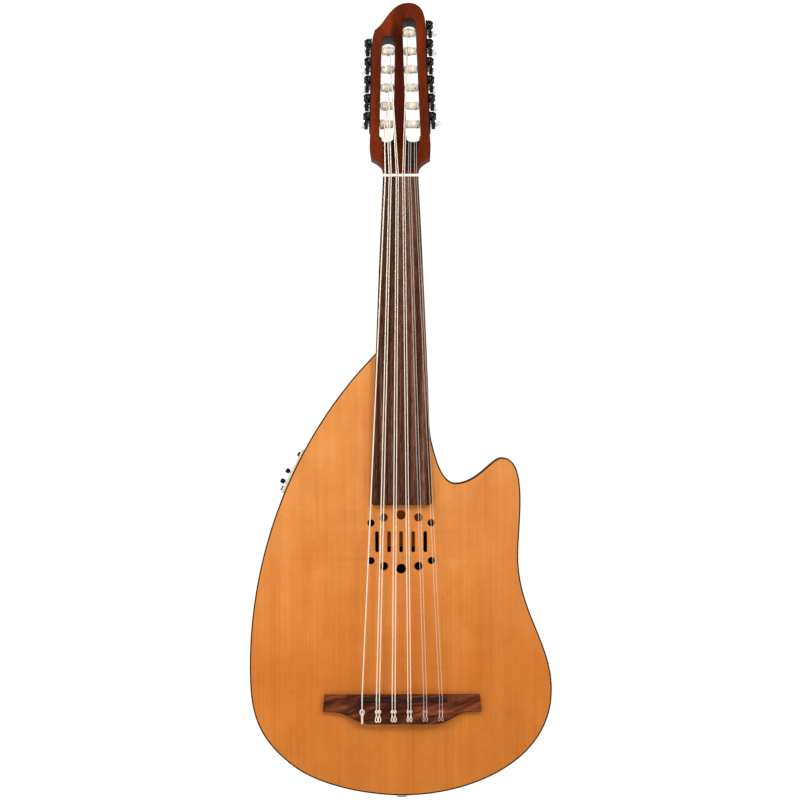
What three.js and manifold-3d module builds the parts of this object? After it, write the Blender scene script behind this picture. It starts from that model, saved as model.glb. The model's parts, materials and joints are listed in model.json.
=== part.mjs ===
// Fretless eleven-string electro-acoustic oud, held upright as it hangs on a wall hanger.
// Millimetres. +Z runs up the neck, the soundboard faces -Y, +X is to the viewer's right.
// The origin is on the neck's centre line, level with the shoulders of the headstock.
import * as THREE from 'three';
import { mergeVertices } from 'three/addons/utils/BufferGeometryUtils.js';
import Module from 'manifold-3d';

const wasm = await Module();
wasm.setup();

// ---- Driving dimensions ----------------------------------------------------------------
const GAP = 0.3;                  // space left between touching pieces

const BODY_DEPTH = 70;            // soundboard face to back
const BODY_WALL = 6;
const BACK_THICKNESS = 8;
const BACK_ROUND = 9;
const TOP_THICKNESS = 3;
const BINDING_WIDTH = 1.5;
const BODY_TOP = -206.4;          // where the neck meets the body
const BODY_BOTTOM = -693;
const RIM_SEAM = 24;              // where the rim's halves meet, beside the jack
const REACH = 800;                // beyond the body in every direction
const OVERLAP = 5;                // how far cutting shapes run past a face

const BLOCK_LEFT = -30;           // neck block inside the body
const BLOCK_RIGHT = 34;
const BLOCK_END = -419.4;
const BLOCK_RECESS = 12;          // its face below the sound holes

const ROSE_X = -0.9;              // centre of the sound-hole pattern
const ROSE_Z = -413.9;
const ROSE_HOLES = [              // offsets from the centre and radius
  { x: 0, z: 29.6, r: 5.5 },
  { x: 19.1, z: 26.8, r: 4.8 },
  { x: 33.1, z: 20.8, r: 4.1 },
];
const ROSE_SLOTS = 5;
const ROSE_SLOT_PITCH = 13.25;
const ROSE_SLOT_HALF_WIDTH = 2.2;
const ROSE_SLOT_HALF_LENGTH = 11.8;

const BOARD_TOP = -12.6;          // fingerboard, nut end and body end
const BOARD_END = -373.5;
const BOARD_THICKNESS = 6;
const BOARD_NUT_HALF = 19.5;
const BOARD_END_HALF = 33.2;
const BOARD_MIDDLE = 28.8;        // pulls the half-width out between the two ends
const NUT_Z = [-12.3, -9.4];
const NUT_TOP = -7.6;

const NECK_TOP_DEPTH = 19.5;      // neck depth behind the board at the headstock
const NECK_DEPTH = 15.5;
const HEEL_DEPTH = 58;

const HEAD_PIVOT_Z = -9;          // headstock plane starts here
const HEAD_TILT = THREE.MathUtils.degToRad(14);
const HEAD_THICKNESS = 20;
const HEAD_LENGTH = 196.4;
const SLOT_SLANT = 4;             // how far the slots' top ends slope through the wood
const SIDE_FOOT = 32.4;           // half-width at the shoulders' corners
const SHOULDER_Z = 19.3;
const SIDE_TOP = 174;
const SIDES = {
  left: { sign: -1, base: 31.3, flare: 0.00014, count: 5 },
  right: { sign: 1, base: 28.3, flare: 0.00024, count: 6 },
};

const ROLLER_FIRST = 59.3;        // along the headstock from its foot
const ROLLER_PITCH = 21;
const ROLLER_DEPTH = 10;
const ROLLER_RADIUS = 4.4;
const ROLLER_SHAFT = 2.6;
const ROLLER_PIN = 2.2;
const ROLLER_PIN_LENGTH = 3.2;
const GEAR_RADIUS = 5.8;
const GEAR_THICKNESS = 4;
const WORM_RADIUS = 2.9;
const WORM_OFFSET = 9;            // worm axis above the roller axis
const GEAR_REACH = 4.8;           // gear and worm centre out from the headstock side
const SHAFT_RADIUS = 1.6;
const SHAFT_END = 33;
const PLATE_THICKNESS = 1.2;
const PLATE_DEPTH = [2, 18];
const PLATE_FOOT = 50.5;
const LUG_HALF_HEIGHT = 3.2;
const LUG_THICKNESS = 1.8;
const LUG_FRONT = 2.2;
const LUG_BACK = 16;
const LUG_CORNER = 0.8;           // its outer corners and its point, out from the worm
const LUG_POINT = 3.6;
const LUG_POINT_HALF = 0.9;
const BUTTON_FROM = 30.5;
const BUTTON_LENGTH = 16;
const BUTTON_HALF_WIDTH = 8.8;
const BUTTON_THICKNESS = 7;
const BUTTON_TURN = {             // how far each button is turned, in degrees, from the nut up
  left: [10, 80, 25, 15, 90],
  right: [20, 30, 85, 95, 50, 40],
};

const SADDLE_Z = [-589.4, -586.2];
const SADDLE_HALF = 48.3;
const SADDLE_TOP = -12.6;
const SADDLE_FOOT = -4;
const SADDLE_SLOT_FLOOR = -1.9;   // the pickup strip lies on it, under the saddle
const BRIDGE_BASE = 5;
const BRIDGE_BLOCK = 9;
const BRIDGE_TOP_EDGE = -581.5;
const BRIDGE_CORNER = -600.7;
const BRIDGE_BOTTOM = -614.6;
const TIE_Z = -606;

const COURSES = [                 // string centres at the nut and at the saddle, and their radii
  { nut: -16.9, saddle: -44.4, radii: [0.62] },
  { nut: -11.5, saddle: -27, radii: [0.52, 0.52] },
  { nut: -3.7, saddle: -9.7, radii: [0.45, 0.45] },
  { nut: 3.3, saddle: 7.6, radii: [0.4, 0.4] },
  { nut: 9.7, saddle: 24.9, radii: [0.45, 0.45] },
  { nut: 16.3, saddle: 42.2, radii: [0.38, 0.38] },
];
const PAIR_AT_NUT = 1.1;
const PAIR_AT_SADDLE = 1.6;
const LANDINGS = {                // where each string meets its roller, from the nut up
  left: [-17.7, -15.2, -13.2, -10.4, -11.6],
  right: [17.6, 15.2, 12.2, 10, 8.2, 7.8],
};

const PREAMP_X = -118.4;          // middle of the preamp on the body's side
const PREAMP_Y = 35;
const PREAMP_Z = -337;
const PREAMP_TURN = THREE.MathUtils.degToRad(-153);
const BEZEL = { out: 3.4, in: -0.5, halfWidth: 21.5, halfLength: 26.5 };
const HOUSING = { depth: 55, y: [-19.2, 19.6], z: [-24, 24.5] };
const HOUSING_HOLE = { y: [-19.6, 20], z: [-24.5, 25] };
const DRAWER = { y: [-1.5, 18.7], z: [-8, 22], depth: 52.6 };
const BATTERY = { length: 48.5, width: 26.5, thickness: 17.5 };
const BATTERY_END = 1.8;          // from the drawer's pocket to the bezel's plane
const KNOB_Y = -11;
const KNOB_RADIUS = 2.6;
const KNOB_FOOT = 4.5;
const KNOB_TOP = 9.4;
const KNOB_END = -6;              // inner end of its shaft
const KNOB_SHAFT = 1.5;
const VOLUME_Z = 2;
const BLEND_Z = 14.5;
const TUNER_BUTTON = { z: -19.8, halfLength: 2.7, halfWidth: 2, proud: 1.4, inner: -0.5, room: 2 };

const JACK_X = -1;
const JACK_Y = 36;
const JACK_RADIUS = 5.2;
const JACK_BORE = 3.3;
const JACK_END = -696.2;
const JACK_TOP = -655;
const JACK_TIP = 6;
const FLANGE = { radius: 8.6, out: -695, in: -693.4, edge: 0.6 };

const STRAP_BUTTON_Z = -226;

// ---- Materials -------------------------------------------------------------------------
const surface = (color, roughness, metalness = 0) =>
  new THREE.MeshStandardMaterial({ color, roughness, metalness });
const cedar = surface(0xd8893f, 0.4);
const mahogany = surface(0x6a2a14, 0.35);
const rosewood = surface(0x4a3229, 0.55);
const darkBinding = surface(0x3a2110, 0.4);
const spruce = surface(0xd9b98a, 0.7);
const bone = surface(0xf2ecdc, 0.35);
const graphite = surface(0x16130f, 0.5);
const steel = surface(0xb9bbbd, 0.3, 1);
const nickel = surface(0xc6c4bd, 0.25, 1);
const blackMetal = surface(0x17171a, 0.4, 0.8);
const ivoryPlastic = surface(0xeae0c8, 0.4);
const pearl = surface(0xf3f0ea, 0.2);
const creamPlastic = surface(0xf0ebcf, 0.4);
const blackPlastic = surface(0x101012, 0.45);
const woundSteel = surface(0xd8d4cc, 0.35, 1);
const nylon = surface(0xe6d9cb, 0.25);

// ---- Helpers ---------------------------------------------------------------------------
const instrument = new THREE.Group();

function add(name, geometry, material, parent = instrument) {
  const mesh = new THREE.Mesh(geometry, material);
  mesh.name = name;
  parent.add(mesh);
  return mesh;
}

function solid(geometry) {
  const bare = geometry.clone();
  bare.deleteAttribute('normal');
  bare.deleteAttribute('uv');
  const merged = mergeVertices(bare, 1e-4);
  return new wasm.Manifold(new wasm.Mesh({
    numProp: 3,
    vertProperties: new Float32Array(merged.attributes.position.array),
    triVerts: new Uint32Array(merged.index.array),
  }));
}

function geometryOf(manifold) {
  const mesh = manifold.getMesh();
  const geometry = new THREE.BufferGeometry();
  geometry.setAttribute('position', new THREE.BufferAttribute(mesh.vertProperties, 3));
  geometry.setIndex(new THREE.BufferAttribute(mesh.triVerts, 1));
  return geometry;
}

function cut(geometry, ...tools) {
  return geometryOf(tools.reduce((rest, tool) => rest.subtract(solid(tool)), solid(geometry)));
}

function join(geometry, ...others) {
  return geometryOf(others.reduce((whole, other) => whole.add(solid(other)), solid(geometry)));
}

function common(geometry, other) {
  return geometryOf(solid(geometry).intersect(solid(other)));
}

function box(x, y, z) {
  const geometry = new THREE.BoxGeometry(x[1] - x[0], y[1] - y[0], z[1] - z[0]);
  return geometry.translate((x[0] + x[1]) / 2, (y[0] + y[1]) / 2, (z[0] + z[1]) / 2);
}

// A shape drawn in X and Z, given thickness from yFront to yBack.
function slab(shape, yFront, yBack, curveSegments = 8) {
  const depth = yBack - yFront;
  const geometry = new THREE.ExtrudeGeometry(shape, { depth, bevelEnabled: false, curveSegments });
  return geometry.rotateX(Math.PI / 2).translate(0, yBack, 0);
}

// Turned pieces: profile points are [radius, distance along the axis].
function turned(profile, axis, segments = 12) {
  const points = profile.map(([radius, along]) => new THREE.Vector2(radius, along));
  const geometry = new THREE.LatheGeometry(points, segments);
  if (axis === 'x') return geometry.rotateZ(-Math.PI / 2);
  if (axis === 'z') return geometry.rotateX(Math.PI / 2);
  return geometry;
}

function rod(radius, from, to, axis, segments = 12) {
  return turned([[0, from], [radius, from], [radius, to], [0, to]], axis, segments);
}

// Rings of equal point counts joined by a skin and closed by flat ends.
function loft(rings) {
  const count = rings[0].length;
  const positions = rings.flat().flatMap((point) => point.toArray());
  const index = [];
  for (let ring = 0; ring < rings.length - 1; ring += 1) {
    for (let i = 0; i < count; i += 1) {
      const a = ring * count + i;
      const b = ring * count + ((i + 1) % count);
      index.push(a, b, a + count, b, b + count, a + count);
    }
  }
  const last = (rings.length - 1) * count;
  for (let i = 1; i < count - 1; i += 1) {
    index.push(0, i + 1, i, last, last + i, last + i + 1);
  }
  const middle = (ring) => ring.reduce((sum, point) => sum.add(point), new THREE.Vector3());
  const travel = middle(rings[1]).sub(middle(rings[0]));
  const first = new THREE.Triangle(...[0, 1, 2].map((i) => rings[0][Math.floor((i * count) / 3)]));
  const turnsOut = first.getNormal(new THREE.Vector3()).dot(travel) > 0;
  if (!turnsOut) index.reverse();
  const geometry = new THREE.BufferGeometry();
  geometry.setAttribute('position', new THREE.Float32BufferAttribute(positions, 3));
  geometry.setIndex(index);
  return geometry;
}

// ---- Body ------------------------------------------------------------------------------
function bodyOutline() {
  const path = new THREE.Path();
  path.moveTo(-28.4, BODY_TOP);
  path.bezierCurveTo(-136.7, -317.5, -167.9, -453.4, -167.9, -551);
  path.bezierCurveTo(-167.9, -597.4, -163.4, -628.3, -119.3, -661.3);
  path.bezierCurveTo(-91.8, -681.8, -40.8, BODY_BOTTOM, 0.6, BODY_BOTTOM);
  path.bezierCurveTo(74.2, BODY_BOTTOM, 164.4, -656.7, 164.4, -577);
  path.bezierCurveTo(164.4, -524.8, 127.9, -491, 127.9, -430);
  path.bezierCurveTo(127.9, -396.2, 141, -321.5, 110.3, -321.5);
  path.bezierCurveTo(98.4, -321.5, 83.5, -349.5, 59, -349.5);
  path.bezierCurveTo(44.1, -349.5, 37, -321.2, 32.3, -300);
  path.lineTo(27.6, BODY_TOP);
  const points = path.getPoints(12);
  return points.filter((point, i) => i === 0 || point.distanceTo(points[i - 1]) > 0.5);
}

// The outline moved inwards by a distance, corner by corner.
function inset(points, distance) {
  return points.map((point, i) => {
    const before = points[(i + points.length - 1) % points.length];
    const after = points[(i + 1) % points.length];
    const arriving = point.clone().sub(before).normalize();
    const leaving = after.clone().sub(point).normalize();
    const normal = new THREE.Vector2(-arriving.y - leaving.y, arriving.x + leaving.x).normalize();
    const stretch = normal.dot(new THREE.Vector2(-arriving.y, arriving.x));
    return point.clone().addScaledVector(normal, distance / stretch);
  });
}

const OUTLINE = bodyOutline();
const insetShape = (distance) => new THREE.Shape(inset(OUTLINE, distance));

function placedPreamp(geometry) {
  return geometry.rotateY(PREAMP_TURN).translate(PREAMP_X, PREAMP_Y, PREAMP_Z);
}

// Everything inside the outline between two depths, with the back's edge rounded.
function bodyBlank(yFront, yBack) {
  const rounded = new THREE.ExtrudeGeometry(insetShape(0), {
    depth: BODY_DEPTH - BACK_ROUND,
    bevelThickness: BACK_ROUND,
    bevelSize: BACK_ROUND,
    bevelOffset: -BACK_ROUND,
    bevelSegments: 4,
  });
  rounded.rotateX(Math.PI / 2).translate(0, BODY_DEPTH - BACK_ROUND, 0);
  return common(rounded, box([-REACH, REACH], [yFront, yBack], [-REACH, 0]));
}

const RIM_FRONT = TOP_THICKNESS + GAP;
const RIM_BACK = BODY_DEPTH - BACK_THICKNESS - GAP;

const WALL_REACH = 30;            // more than the rim's thickness where it is cut at a slant

// One half of the rim: beside the neck block above, up to the seam below.
function bodyRim(upperX, lowerX) {
  const ring = cut(bodyBlank(RIM_FRONT, RIM_BACK), slab(insetShape(BODY_WALL), 0, BODY_DEPTH));
  const region = join(
    box(upperX, [0, BODY_DEPTH], [BLOCK_END - OVERLAP, 0]),
    box(lowerX, [0, BODY_DEPTH], [-REACH, BLOCK_END - GAP]),
  );
  return common(ring, region);
}

function leftRim() {
  const bezelSeat = placedPreamp(box(
    [BEZEL.in - GAP, WALL_REACH],
    [-BEZEL.halfWidth - GAP, BEZEL.halfWidth + GAP],
    [-BEZEL.halfLength - GAP, BEZEL.halfLength + GAP],
  ));
  const housingHole = placedPreamp(box([-WALL_REACH, OVERLAP], HOUSING_HOLE.y, HOUSING_HOLE.z));
  const jackHole = rod(JACK_RADIUS + GAP, JACK_END, JACK_TOP, 'z').translate(JACK_X, JACK_Y, 0);
  const rim = bodyRim([-REACH, BLOCK_LEFT - GAP], [-REACH, RIM_SEAM - GAP / 2]);
  return cut(rim, bezelSeat, housingHole, jackHole);
}

function rightRim() {
  return bodyRim([BLOCK_RIGHT + GAP, REACH], [RIM_SEAM + GAP / 2, REACH]);
}

function neckBlock() {
  return cut(
    common(
      bodyBlank(RIM_FRONT, RIM_BACK),
      box([BLOCK_LEFT, BLOCK_RIGHT], [0, BODY_DEPTH], [BLOCK_END, 0]),
    ),
    box(
      [BLOCK_LEFT - OVERLAP, BLOCK_RIGHT + OVERLAP],
      [0, BLOCK_RECESS],
      [BLOCK_END - OVERLAP, BOARD_END - OVERLAP],
    ),
  );
}

function roseOpenings(shape) {
  for (const { x, z, r } of ROSE_HOLES) {
    const across = x === 0 ? [0] : [-x, x];
    for (const dx of across) {
      for (const dz of [-z, z]) {
        shape.holes.push(new THREE.Path().absarc(ROSE_X + dx, ROSE_Z + dz, r, 0, 2 * Math.PI, true));
      }
    }
  }
  const half = ROSE_SLOT_HALF_WIDTH;
  const reach = ROSE_SLOT_HALF_LENGTH - half;
  for (let i = 0; i < ROSE_SLOTS; i += 1) {
    const x = ROSE_X + (i - (ROSE_SLOTS - 1) / 2) * ROSE_SLOT_PITCH;
    const slot = new THREE.Path();
    slot.absarc(x, ROSE_Z + reach, half, 0, Math.PI, false);
    slot.absarc(x, ROSE_Z - reach, half, Math.PI, 2 * Math.PI, false);
    slot.closePath();
    shape.holes.push(slot);
  }
  return shape;
}

function soundboard() {
  return slab(roseOpenings(insetShape(BINDING_WIDTH + GAP)), 0, TOP_THICKNESS, 6);
}

function binding() {
  const ring = insetShape(0);
  ring.holes.push(new THREE.Path(inset(OUTLINE, BINDING_WIDTH)));
  return slab(ring, 0, TOP_THICKNESS);
}

function stick(x1, z1, x2, z2, width, height) {
  const length = Math.hypot(x2 - x1, z2 - z1);
  const front = TOP_THICKNESS + GAP;
  const geometry = box([-width / 2, width / 2], [front, front + height], [-length / 2, length / 2]);
  return geometry.rotateY(Math.atan2(x2 - x1, z2 - z1)).translate((x1 + x2) / 2, 0, (z1 + z2) / 2);
}

const BRACE_Z = -462;             // the cross brace, which the fan braces start from

function bracing() {
  const cross = stick(-140, BRACE_Z, 116, BRACE_Z, 8, 7);
  const fans = [-78, -39, 0, 39, 78].map((x) => stick(x * 0.6, BRACE_Z, x * 1.25, -655, 6, 5));
  const bridgePlate = stick(-84, -598, 84, -598, 36, 2.5);
  const lower = stick(-100, -652, 98, -652, 6, 5);
  return join(cross, ...fans, bridgePlate, lower);
}

// ---- Bridge ----------------------------------------------------------------------------
function bridgeShape() {
  const shape = new THREE.Shape();
  shape.moveTo(-85.8, BRIDGE_TOP_EDGE);
  shape.lineTo(-87.9, BRIDGE_CORNER);
  shape.lineTo(-76, BRIDGE_CORNER - 0.6);
  shape.bezierCurveTo(-58, -602, -53, BRIDGE_BOTTOM, -34, BRIDGE_BOTTOM);
  shape.lineTo(33, BRIDGE_BOTTOM);
  shape.bezierCurveTo(52, BRIDGE_BOTTOM, 57, -602, 75, BRIDGE_CORNER - 0.6);
  shape.lineTo(87, BRIDGE_CORNER);
  shape.lineTo(85, BRIDGE_TOP_EDGE);
  return shape;
}

function bridge() {
  const wings = slab(bridgeShape(), -BRIDGE_BASE - GAP, -GAP, 10);
  const block = new THREE.Shape();
  block.moveTo(-64, 0);
  block.lineTo(-52, BRIDGE_BLOCK - BRIDGE_BASE);
  block.lineTo(52, BRIDGE_BLOCK - BRIDGE_BASE);
  block.lineTo(64, 0);
  const raised = new THREE.ExtrudeGeometry(block, { depth: 40, bevelEnabled: false });
  // Drawn in X and height, then turned so that its height faces forward.
  raised.rotateX(Math.PI).translate(0, -BRIDGE_BASE - GAP + 0.5, BRIDGE_TOP_EDGE - 1);
  const trimmed = common(raised, slab(bridgeShape(), -20, 0, 10));
  const saddleSlot = box(
    [-SADDLE_HALF - GAP, SADDLE_HALF + GAP],
    [-20, SADDLE_SLOT_FLOOR],
    [SADDLE_Z[0] - GAP, SADDLE_Z[1] + GAP],
  );
  return cut(join(wings, trimmed), saddleSlot);
}

function saddle() {
  const profile = new THREE.Shape();
  profile.moveTo(SADDLE_Z[0], SADDLE_FOOT);
  profile.lineTo(SADDLE_Z[1], SADDLE_FOOT);
  profile.lineTo(SADDLE_Z[1], SADDLE_TOP + 1);
  profile.lineTo(SADDLE_Z[1] - 1, SADDLE_TOP);
  profile.lineTo(SADDLE_Z[0] + 1, SADDLE_TOP);
  profile.lineTo(SADDLE_Z[0], SADDLE_TOP + 1);
  const geometry = new THREE.ExtrudeGeometry(profile, { depth: 2 * SADDLE_HALF, bevelEnabled: false });
  return geometry.rotateY(-Math.PI / 2).translate(SADDLE_HALF, 0, 0);
}

// ---- Neck, fingerboard and nut ---------------------------------------------------------
function boardHalfWidth(z) {
  const along = (BOARD_TOP - z) / (BOARD_TOP - BOARD_END);
  return (1 - along) ** 2 * BOARD_NUT_HALF + 2 * along * (1 - along) * BOARD_MIDDLE
    + along ** 2 * BOARD_END_HALF;
}

function fingerboard() {
  const corner = 3;
  const shape = new THREE.Shape();
  shape.moveTo(-BOARD_NUT_HALF, BOARD_TOP);
  const steps = 8;
  const stop = BOARD_END + corner;
  for (let i = 1; i <= steps; i += 1) {
    const z = THREE.MathUtils.lerp(BOARD_TOP, stop, i / steps);
    shape.lineTo(-boardHalfWidth(z), z);
  }
  shape.absarc(-BOARD_END_HALF + corner, stop, corner, Math.PI, 1.5 * Math.PI, false);
  shape.absarc(BOARD_END_HALF - corner, stop, corner, 1.5 * Math.PI, 2 * Math.PI, false);
  for (let i = steps; i >= 0; i -= 1) {
    const z = THREE.MathUtils.lerp(BOARD_TOP, stop, i / steps);
    shape.lineTo(boardHalfWidth(z), z);
  }
  return slab(shape, -BOARD_THICKNESS - GAP, -GAP, 4);
}

function nut() {
  const profile = new THREE.Shape();
  profile.moveTo(NUT_Z[0], -GAP);
  profile.lineTo(NUT_Z[1], -GAP);
  profile.lineTo(NUT_Z[1], NUT_TOP + 1.4);
  profile.quadraticCurveTo(NUT_Z[1] - 0.4, NUT_TOP, NUT_Z[0], NUT_TOP);
  const width = 2 * BOARD_NUT_HALF + 0.6;
  const geometry = new THREE.ExtrudeGeometry(profile, { depth: width, bevelEnabled: false });
  return geometry.rotateY(-Math.PI / 2).translate(width / 2, 0, 0);
}

// Depth of the neck behind the fingerboard.
const NECK_STATIONS = [
  { z: 2, depth: NECK_TOP_DEPTH },
  { z: -12, depth: NECK_TOP_DEPTH },
  { z: -20, depth: NECK_DEPTH + 1.5 },
  { z: -32, depth: NECK_DEPTH },
  { z: -100, depth: NECK_DEPTH + 1 },
  { z: -160, depth: NECK_DEPTH + 2.5 },
  { z: -178, depth: NECK_DEPTH + 5.5 },
  { z: -190, depth: NECK_DEPTH + 13 },
  { z: -199, depth: NECK_DEPTH + 26 },
  { z: BODY_TOP + GAP, depth: HEEL_DEPTH },
];

function neckSection(z, depth) {
  const half = z > BOARD_TOP ? BOARD_NUT_HALF : boardHalfWidth(z) - 0.2;
  const steps = 12;
  const ring = [];
  for (let i = 0; i <= steps; i += 1) {
    const angle = (Math.PI * i) / steps;
    ring.push(new THREE.Vector3(half * Math.cos(angle), depth * Math.sin(angle) ** 0.8, z));
  }
  return ring;
}

const headFrame = new THREE.Group();
headFrame.rotation.x = -HEAD_TILT;
headFrame.position.z = HEAD_PIVOT_Z;
instrument.add(headFrame);

const ROD = { half: 3, y: [1, 9.5], z: [-196, -22] };

function neck() {
  const shaft = loft(NECK_STATIONS.map(({ z, depth }) => neckSection(z, depth)));
  const headSpace = box([-60, 60], [-30, 60], [-GAP, 60]);
  headSpace.rotateX(-HEAD_TILT).translate(0, 0, HEAD_PIVOT_Z);
  const groove = box(
    [-ROD.half - GAP, ROD.half + GAP],
    [-5, ROD.y[1] + GAP],
    [ROD.z[0] - GAP, ROD.z[1] + GAP],
  );
  return cut(shaft, headSpace, groove);
}

// ---- Headstock -------------------------------------------------------------------------
// Distance of the headstock's side from the centre line at a height along it.
const sideAt = (side, z) => side.base + side.flare * (SIDE_TOP - z) ** 2;

function headstockShape() {
  const shape = new THREE.Shape();
  const { left, right } = SIDES;
  shape.moveTo(-BOARD_NUT_HALF, 0);
  shape.lineTo(BOARD_NUT_HALF, 0);
  shape.bezierCurveTo(BOARD_NUT_HALF, 10.5, 20.2, 12.2, SIDE_FOOT, SHOULDER_Z);
  for (let z = 32; z <= 162; z += 26) shape.lineTo(sideAt(right, z), z);
  shape.quadraticCurveTo(28.4, 175, 26.3, 182.5);
  shape.bezierCurveTo(24.8, 189.5, 19.5, HEAD_LENGTH, 9, HEAD_LENGTH);
  shape.bezierCurveTo(-11.4, HEAD_LENGTH, -16.4, 171.8, -28, 165.2);
  shape.quadraticCurveTo(-30.6, 158, -sideAt(left, 148), 148);
  for (let z = 119; z >= 32; z -= 29) shape.lineTo(-sideAt(left, z), z);
  shape.lineTo(-SIDE_FOOT, SHOULDER_Z);
  shape.bezierCurveTo(-20.2, 12.2, -BOARD_NUT_HALF, 10.5, -BOARD_NUT_HALF, 0);
  return shape;
}

// One string slot: inner and outer edges at its foot and top, and its top end.
const SLOTS = {
  left: { foot: [-23.5, -7.9], top: [-21.1, -6.2], topEnd: 158.6 },
  right: { foot: [6.2, 22.3], top: [3.7, 18.7], topEnd: 178.9 },
};
const SLOT_FOOT_END = 39.5;
const SLOT_END_ROUND = 5;
const SLOT_MEASURED = [42, 131];    // heights that the slots' edges are given at

function slotEdges(slot, z) {
  const along = (z - SLOT_MEASURED[0]) / (SLOT_MEASURED[1] - SLOT_MEASURED[0]);
  return slot.foot.map((x, i) => THREE.MathUtils.lerp(x, slot.top[i], along));
}

function slotRing(slot, topEnd, y) {
  const ring = [];
  const steps = 8;
  const ends = [
    { z: topEnd - SLOT_END_ROUND, up: 1, from: 0 },
    { z: SLOT_FOOT_END + SLOT_END_ROUND, up: -1, from: Math.PI },
  ];
  for (const { z, up, from } of ends) {
    const [low, high] = slotEdges(slot, z);
    const half = (high - low) / 2;
    for (let i = 0; i <= steps; i += 1) {
      const angle = from + (Math.PI * i) / steps;
      const rise = SLOT_END_ROUND * Math.abs(Math.sin(angle)) * up;
      ring.push(new THREE.Vector3((low + high) / 2 + half * Math.cos(angle), y, z + rise));
    }
  }
  return ring;
}

function slotCutter(slot) {
  const slope = SLOT_SLANT / HEAD_THICKNESS;
  const front = slotRing(slot, slot.topEnd + slope, -1);
  const back = slotRing(slot, slot.topEnd - SLOT_SLANT - slope, HEAD_THICKNESS + 1);
  return loft([back, front]);
}

const RAMPS = {
  left: { foot: [-17.6, -2.2], top: [-20.8, -8.1] },
  right: { foot: [3, 16], top: [6.7, 21.2] },
};
const RAMP_START = 3;
const RAMP_DEPTH = 13;

function rampCutter(ramp) {
  const ring = ([low, high], depth, z) => [
    new THREE.Vector3(low, -2, z),
    new THREE.Vector3(high, -2, z),
    new THREE.Vector3(high, depth - 1.5, z),
    new THREE.Vector3(high - 1.5, depth, z),
    new THREE.Vector3(low + 1.5, depth, z),
    new THREE.Vector3(low, depth - 1.5, z),
  ];
  return loft([ring(ramp.foot, 0.1, RAMP_START), ring(ramp.top, RAMP_DEPTH, SLOT_FOOT_END + 4)]);
}

const rollerHeight = (i) => ROLLER_FIRST + i * ROLLER_PITCH;

// Where one roller's sleeve and shaft start and end, from the centre line outwards.
function rollerSpan(side, slot, i) {
  const z = rollerHeight(i);
  const edges = slotEdges(slot, z).map((x) => x * side.sign).sort((a, b) => a - b);
  return { z, inner: edges[0] + 0.5, outer: edges[1] - 0.5, gear: sideAt(side, z) + GEAR_REACH };
}

function headstock() {
  const bores = [];
  for (const [key, side] of Object.entries(SIDES)) {
    for (let i = 0; i < side.count; i += 1) {
      const { z, inner, gear } = rollerSpan(side, SLOTS[key], i);
      const pinBore = rod(ROLLER_PIN + GAP, inner - ROLLER_PIN_LENGTH - GAP, inner + 5, 'x');
      const shaftBore = rod(ROLLER_SHAFT + GAP, inner + 5, gear + 10, 'x');
      for (const bore of [pinBore, shaftBore]) {
        if (side.sign < 0) bore.rotateZ(Math.PI);
        bores.push(bore.translate(0, ROLLER_DEPTH, z));
      }
    }
  }
  return cut(
    slab(headstockShape(), 0, HEAD_THICKNESS, 10),
    slotCutter(SLOTS.left),
    slotCutter(SLOTS.right),
    rampCutter(RAMPS.left),
    rampCutter(RAMPS.right),
    ...bores,
  );
}

// ---- Tuning machines -------------------------------------------------------------------
// The bracket that holds one end of a worm: it comes to a point on the outside.
function lugShape(from, worm) {
  const shape = new THREE.Shape();
  shape.moveTo(from, -LUG_HALF_HEIGHT);
  shape.lineTo(worm + LUG_CORNER, -LUG_HALF_HEIGHT);
  shape.lineTo(worm + LUG_POINT, -LUG_POINT_HALF);
  shape.lineTo(worm + LUG_POINT, LUG_POINT_HALF);
  shape.lineTo(worm + LUG_CORNER, LUG_HALF_HEIGHT);
  shape.lineTo(from, LUG_HALF_HEIGHT);
  return shape;
}

function tunerPlate(side, key) {
  const top = rollerHeight(side.count - 1) + WORM_OFFSET + LUG_HALF_HEIGHT + 0.6;
  const strip = new THREE.Shape();
  const steps = 4;
  const heights = Array.from({ length: steps + 1 }, (_, i) =>
    THREE.MathUtils.lerp(PLATE_FOOT, top, i / steps));
  const inner = heights.map((z) => [sideAt(side, z) + GAP, z]);
  const outer = heights.map((z) => [sideAt(side, z) + GAP + PLATE_THICKNESS, z]).reverse();
  [...inner, ...outer].forEach(([x, z], i) => (i ? strip.lineTo(x, z) : strip.moveTo(x, z)));
  let plate = solid(slab(strip, PLATE_DEPTH[0], PLATE_DEPTH[1]));
  for (let i = 0; i < side.count; i += 1) {
    const { z, inner: slotEdge, gear } = rollerSpan(side, SLOTS[key], i);
    const wormZ = z + WORM_OFFSET;
    for (const y of [LUG_FRONT, LUG_BACK]) {
      const lug = slab(lugShape(sideAt(side, wormZ) + GAP + PLATE_THICKNESS / 2, gear), y, y + LUG_THICKNESS);
      plate = plate.add(solid(lug.translate(0, 0, wormZ)));
    }
    const shaftBore = rod(SHAFT_RADIUS + GAP, 0, SHAFT_END, 'y').translate(gear, 0, wormZ);
    const rollerBore = rod(ROLLER_SHAFT + GAP, slotEdge, gear, 'x').translate(0, ROLLER_DEPTH, z);
    plate = plate.subtract(solid(shaftBore)).subtract(solid(rollerBore));
  }
  const geometry = geometryOf(plate);
  return side.sign < 0 ? mirrored(geometry) : geometry;
}

// A copy across the centre plane, with its faces turned to point out again.
function mirrored(geometry) {
  const copy = geometry.clone().scale(-1, 1, 1);
  const index = copy.index.array;
  for (let i = 0; i < index.length; i += 3) [index[i], index[i + 1]] = [index[i + 1], index[i]];
  return copy;
}

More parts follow.
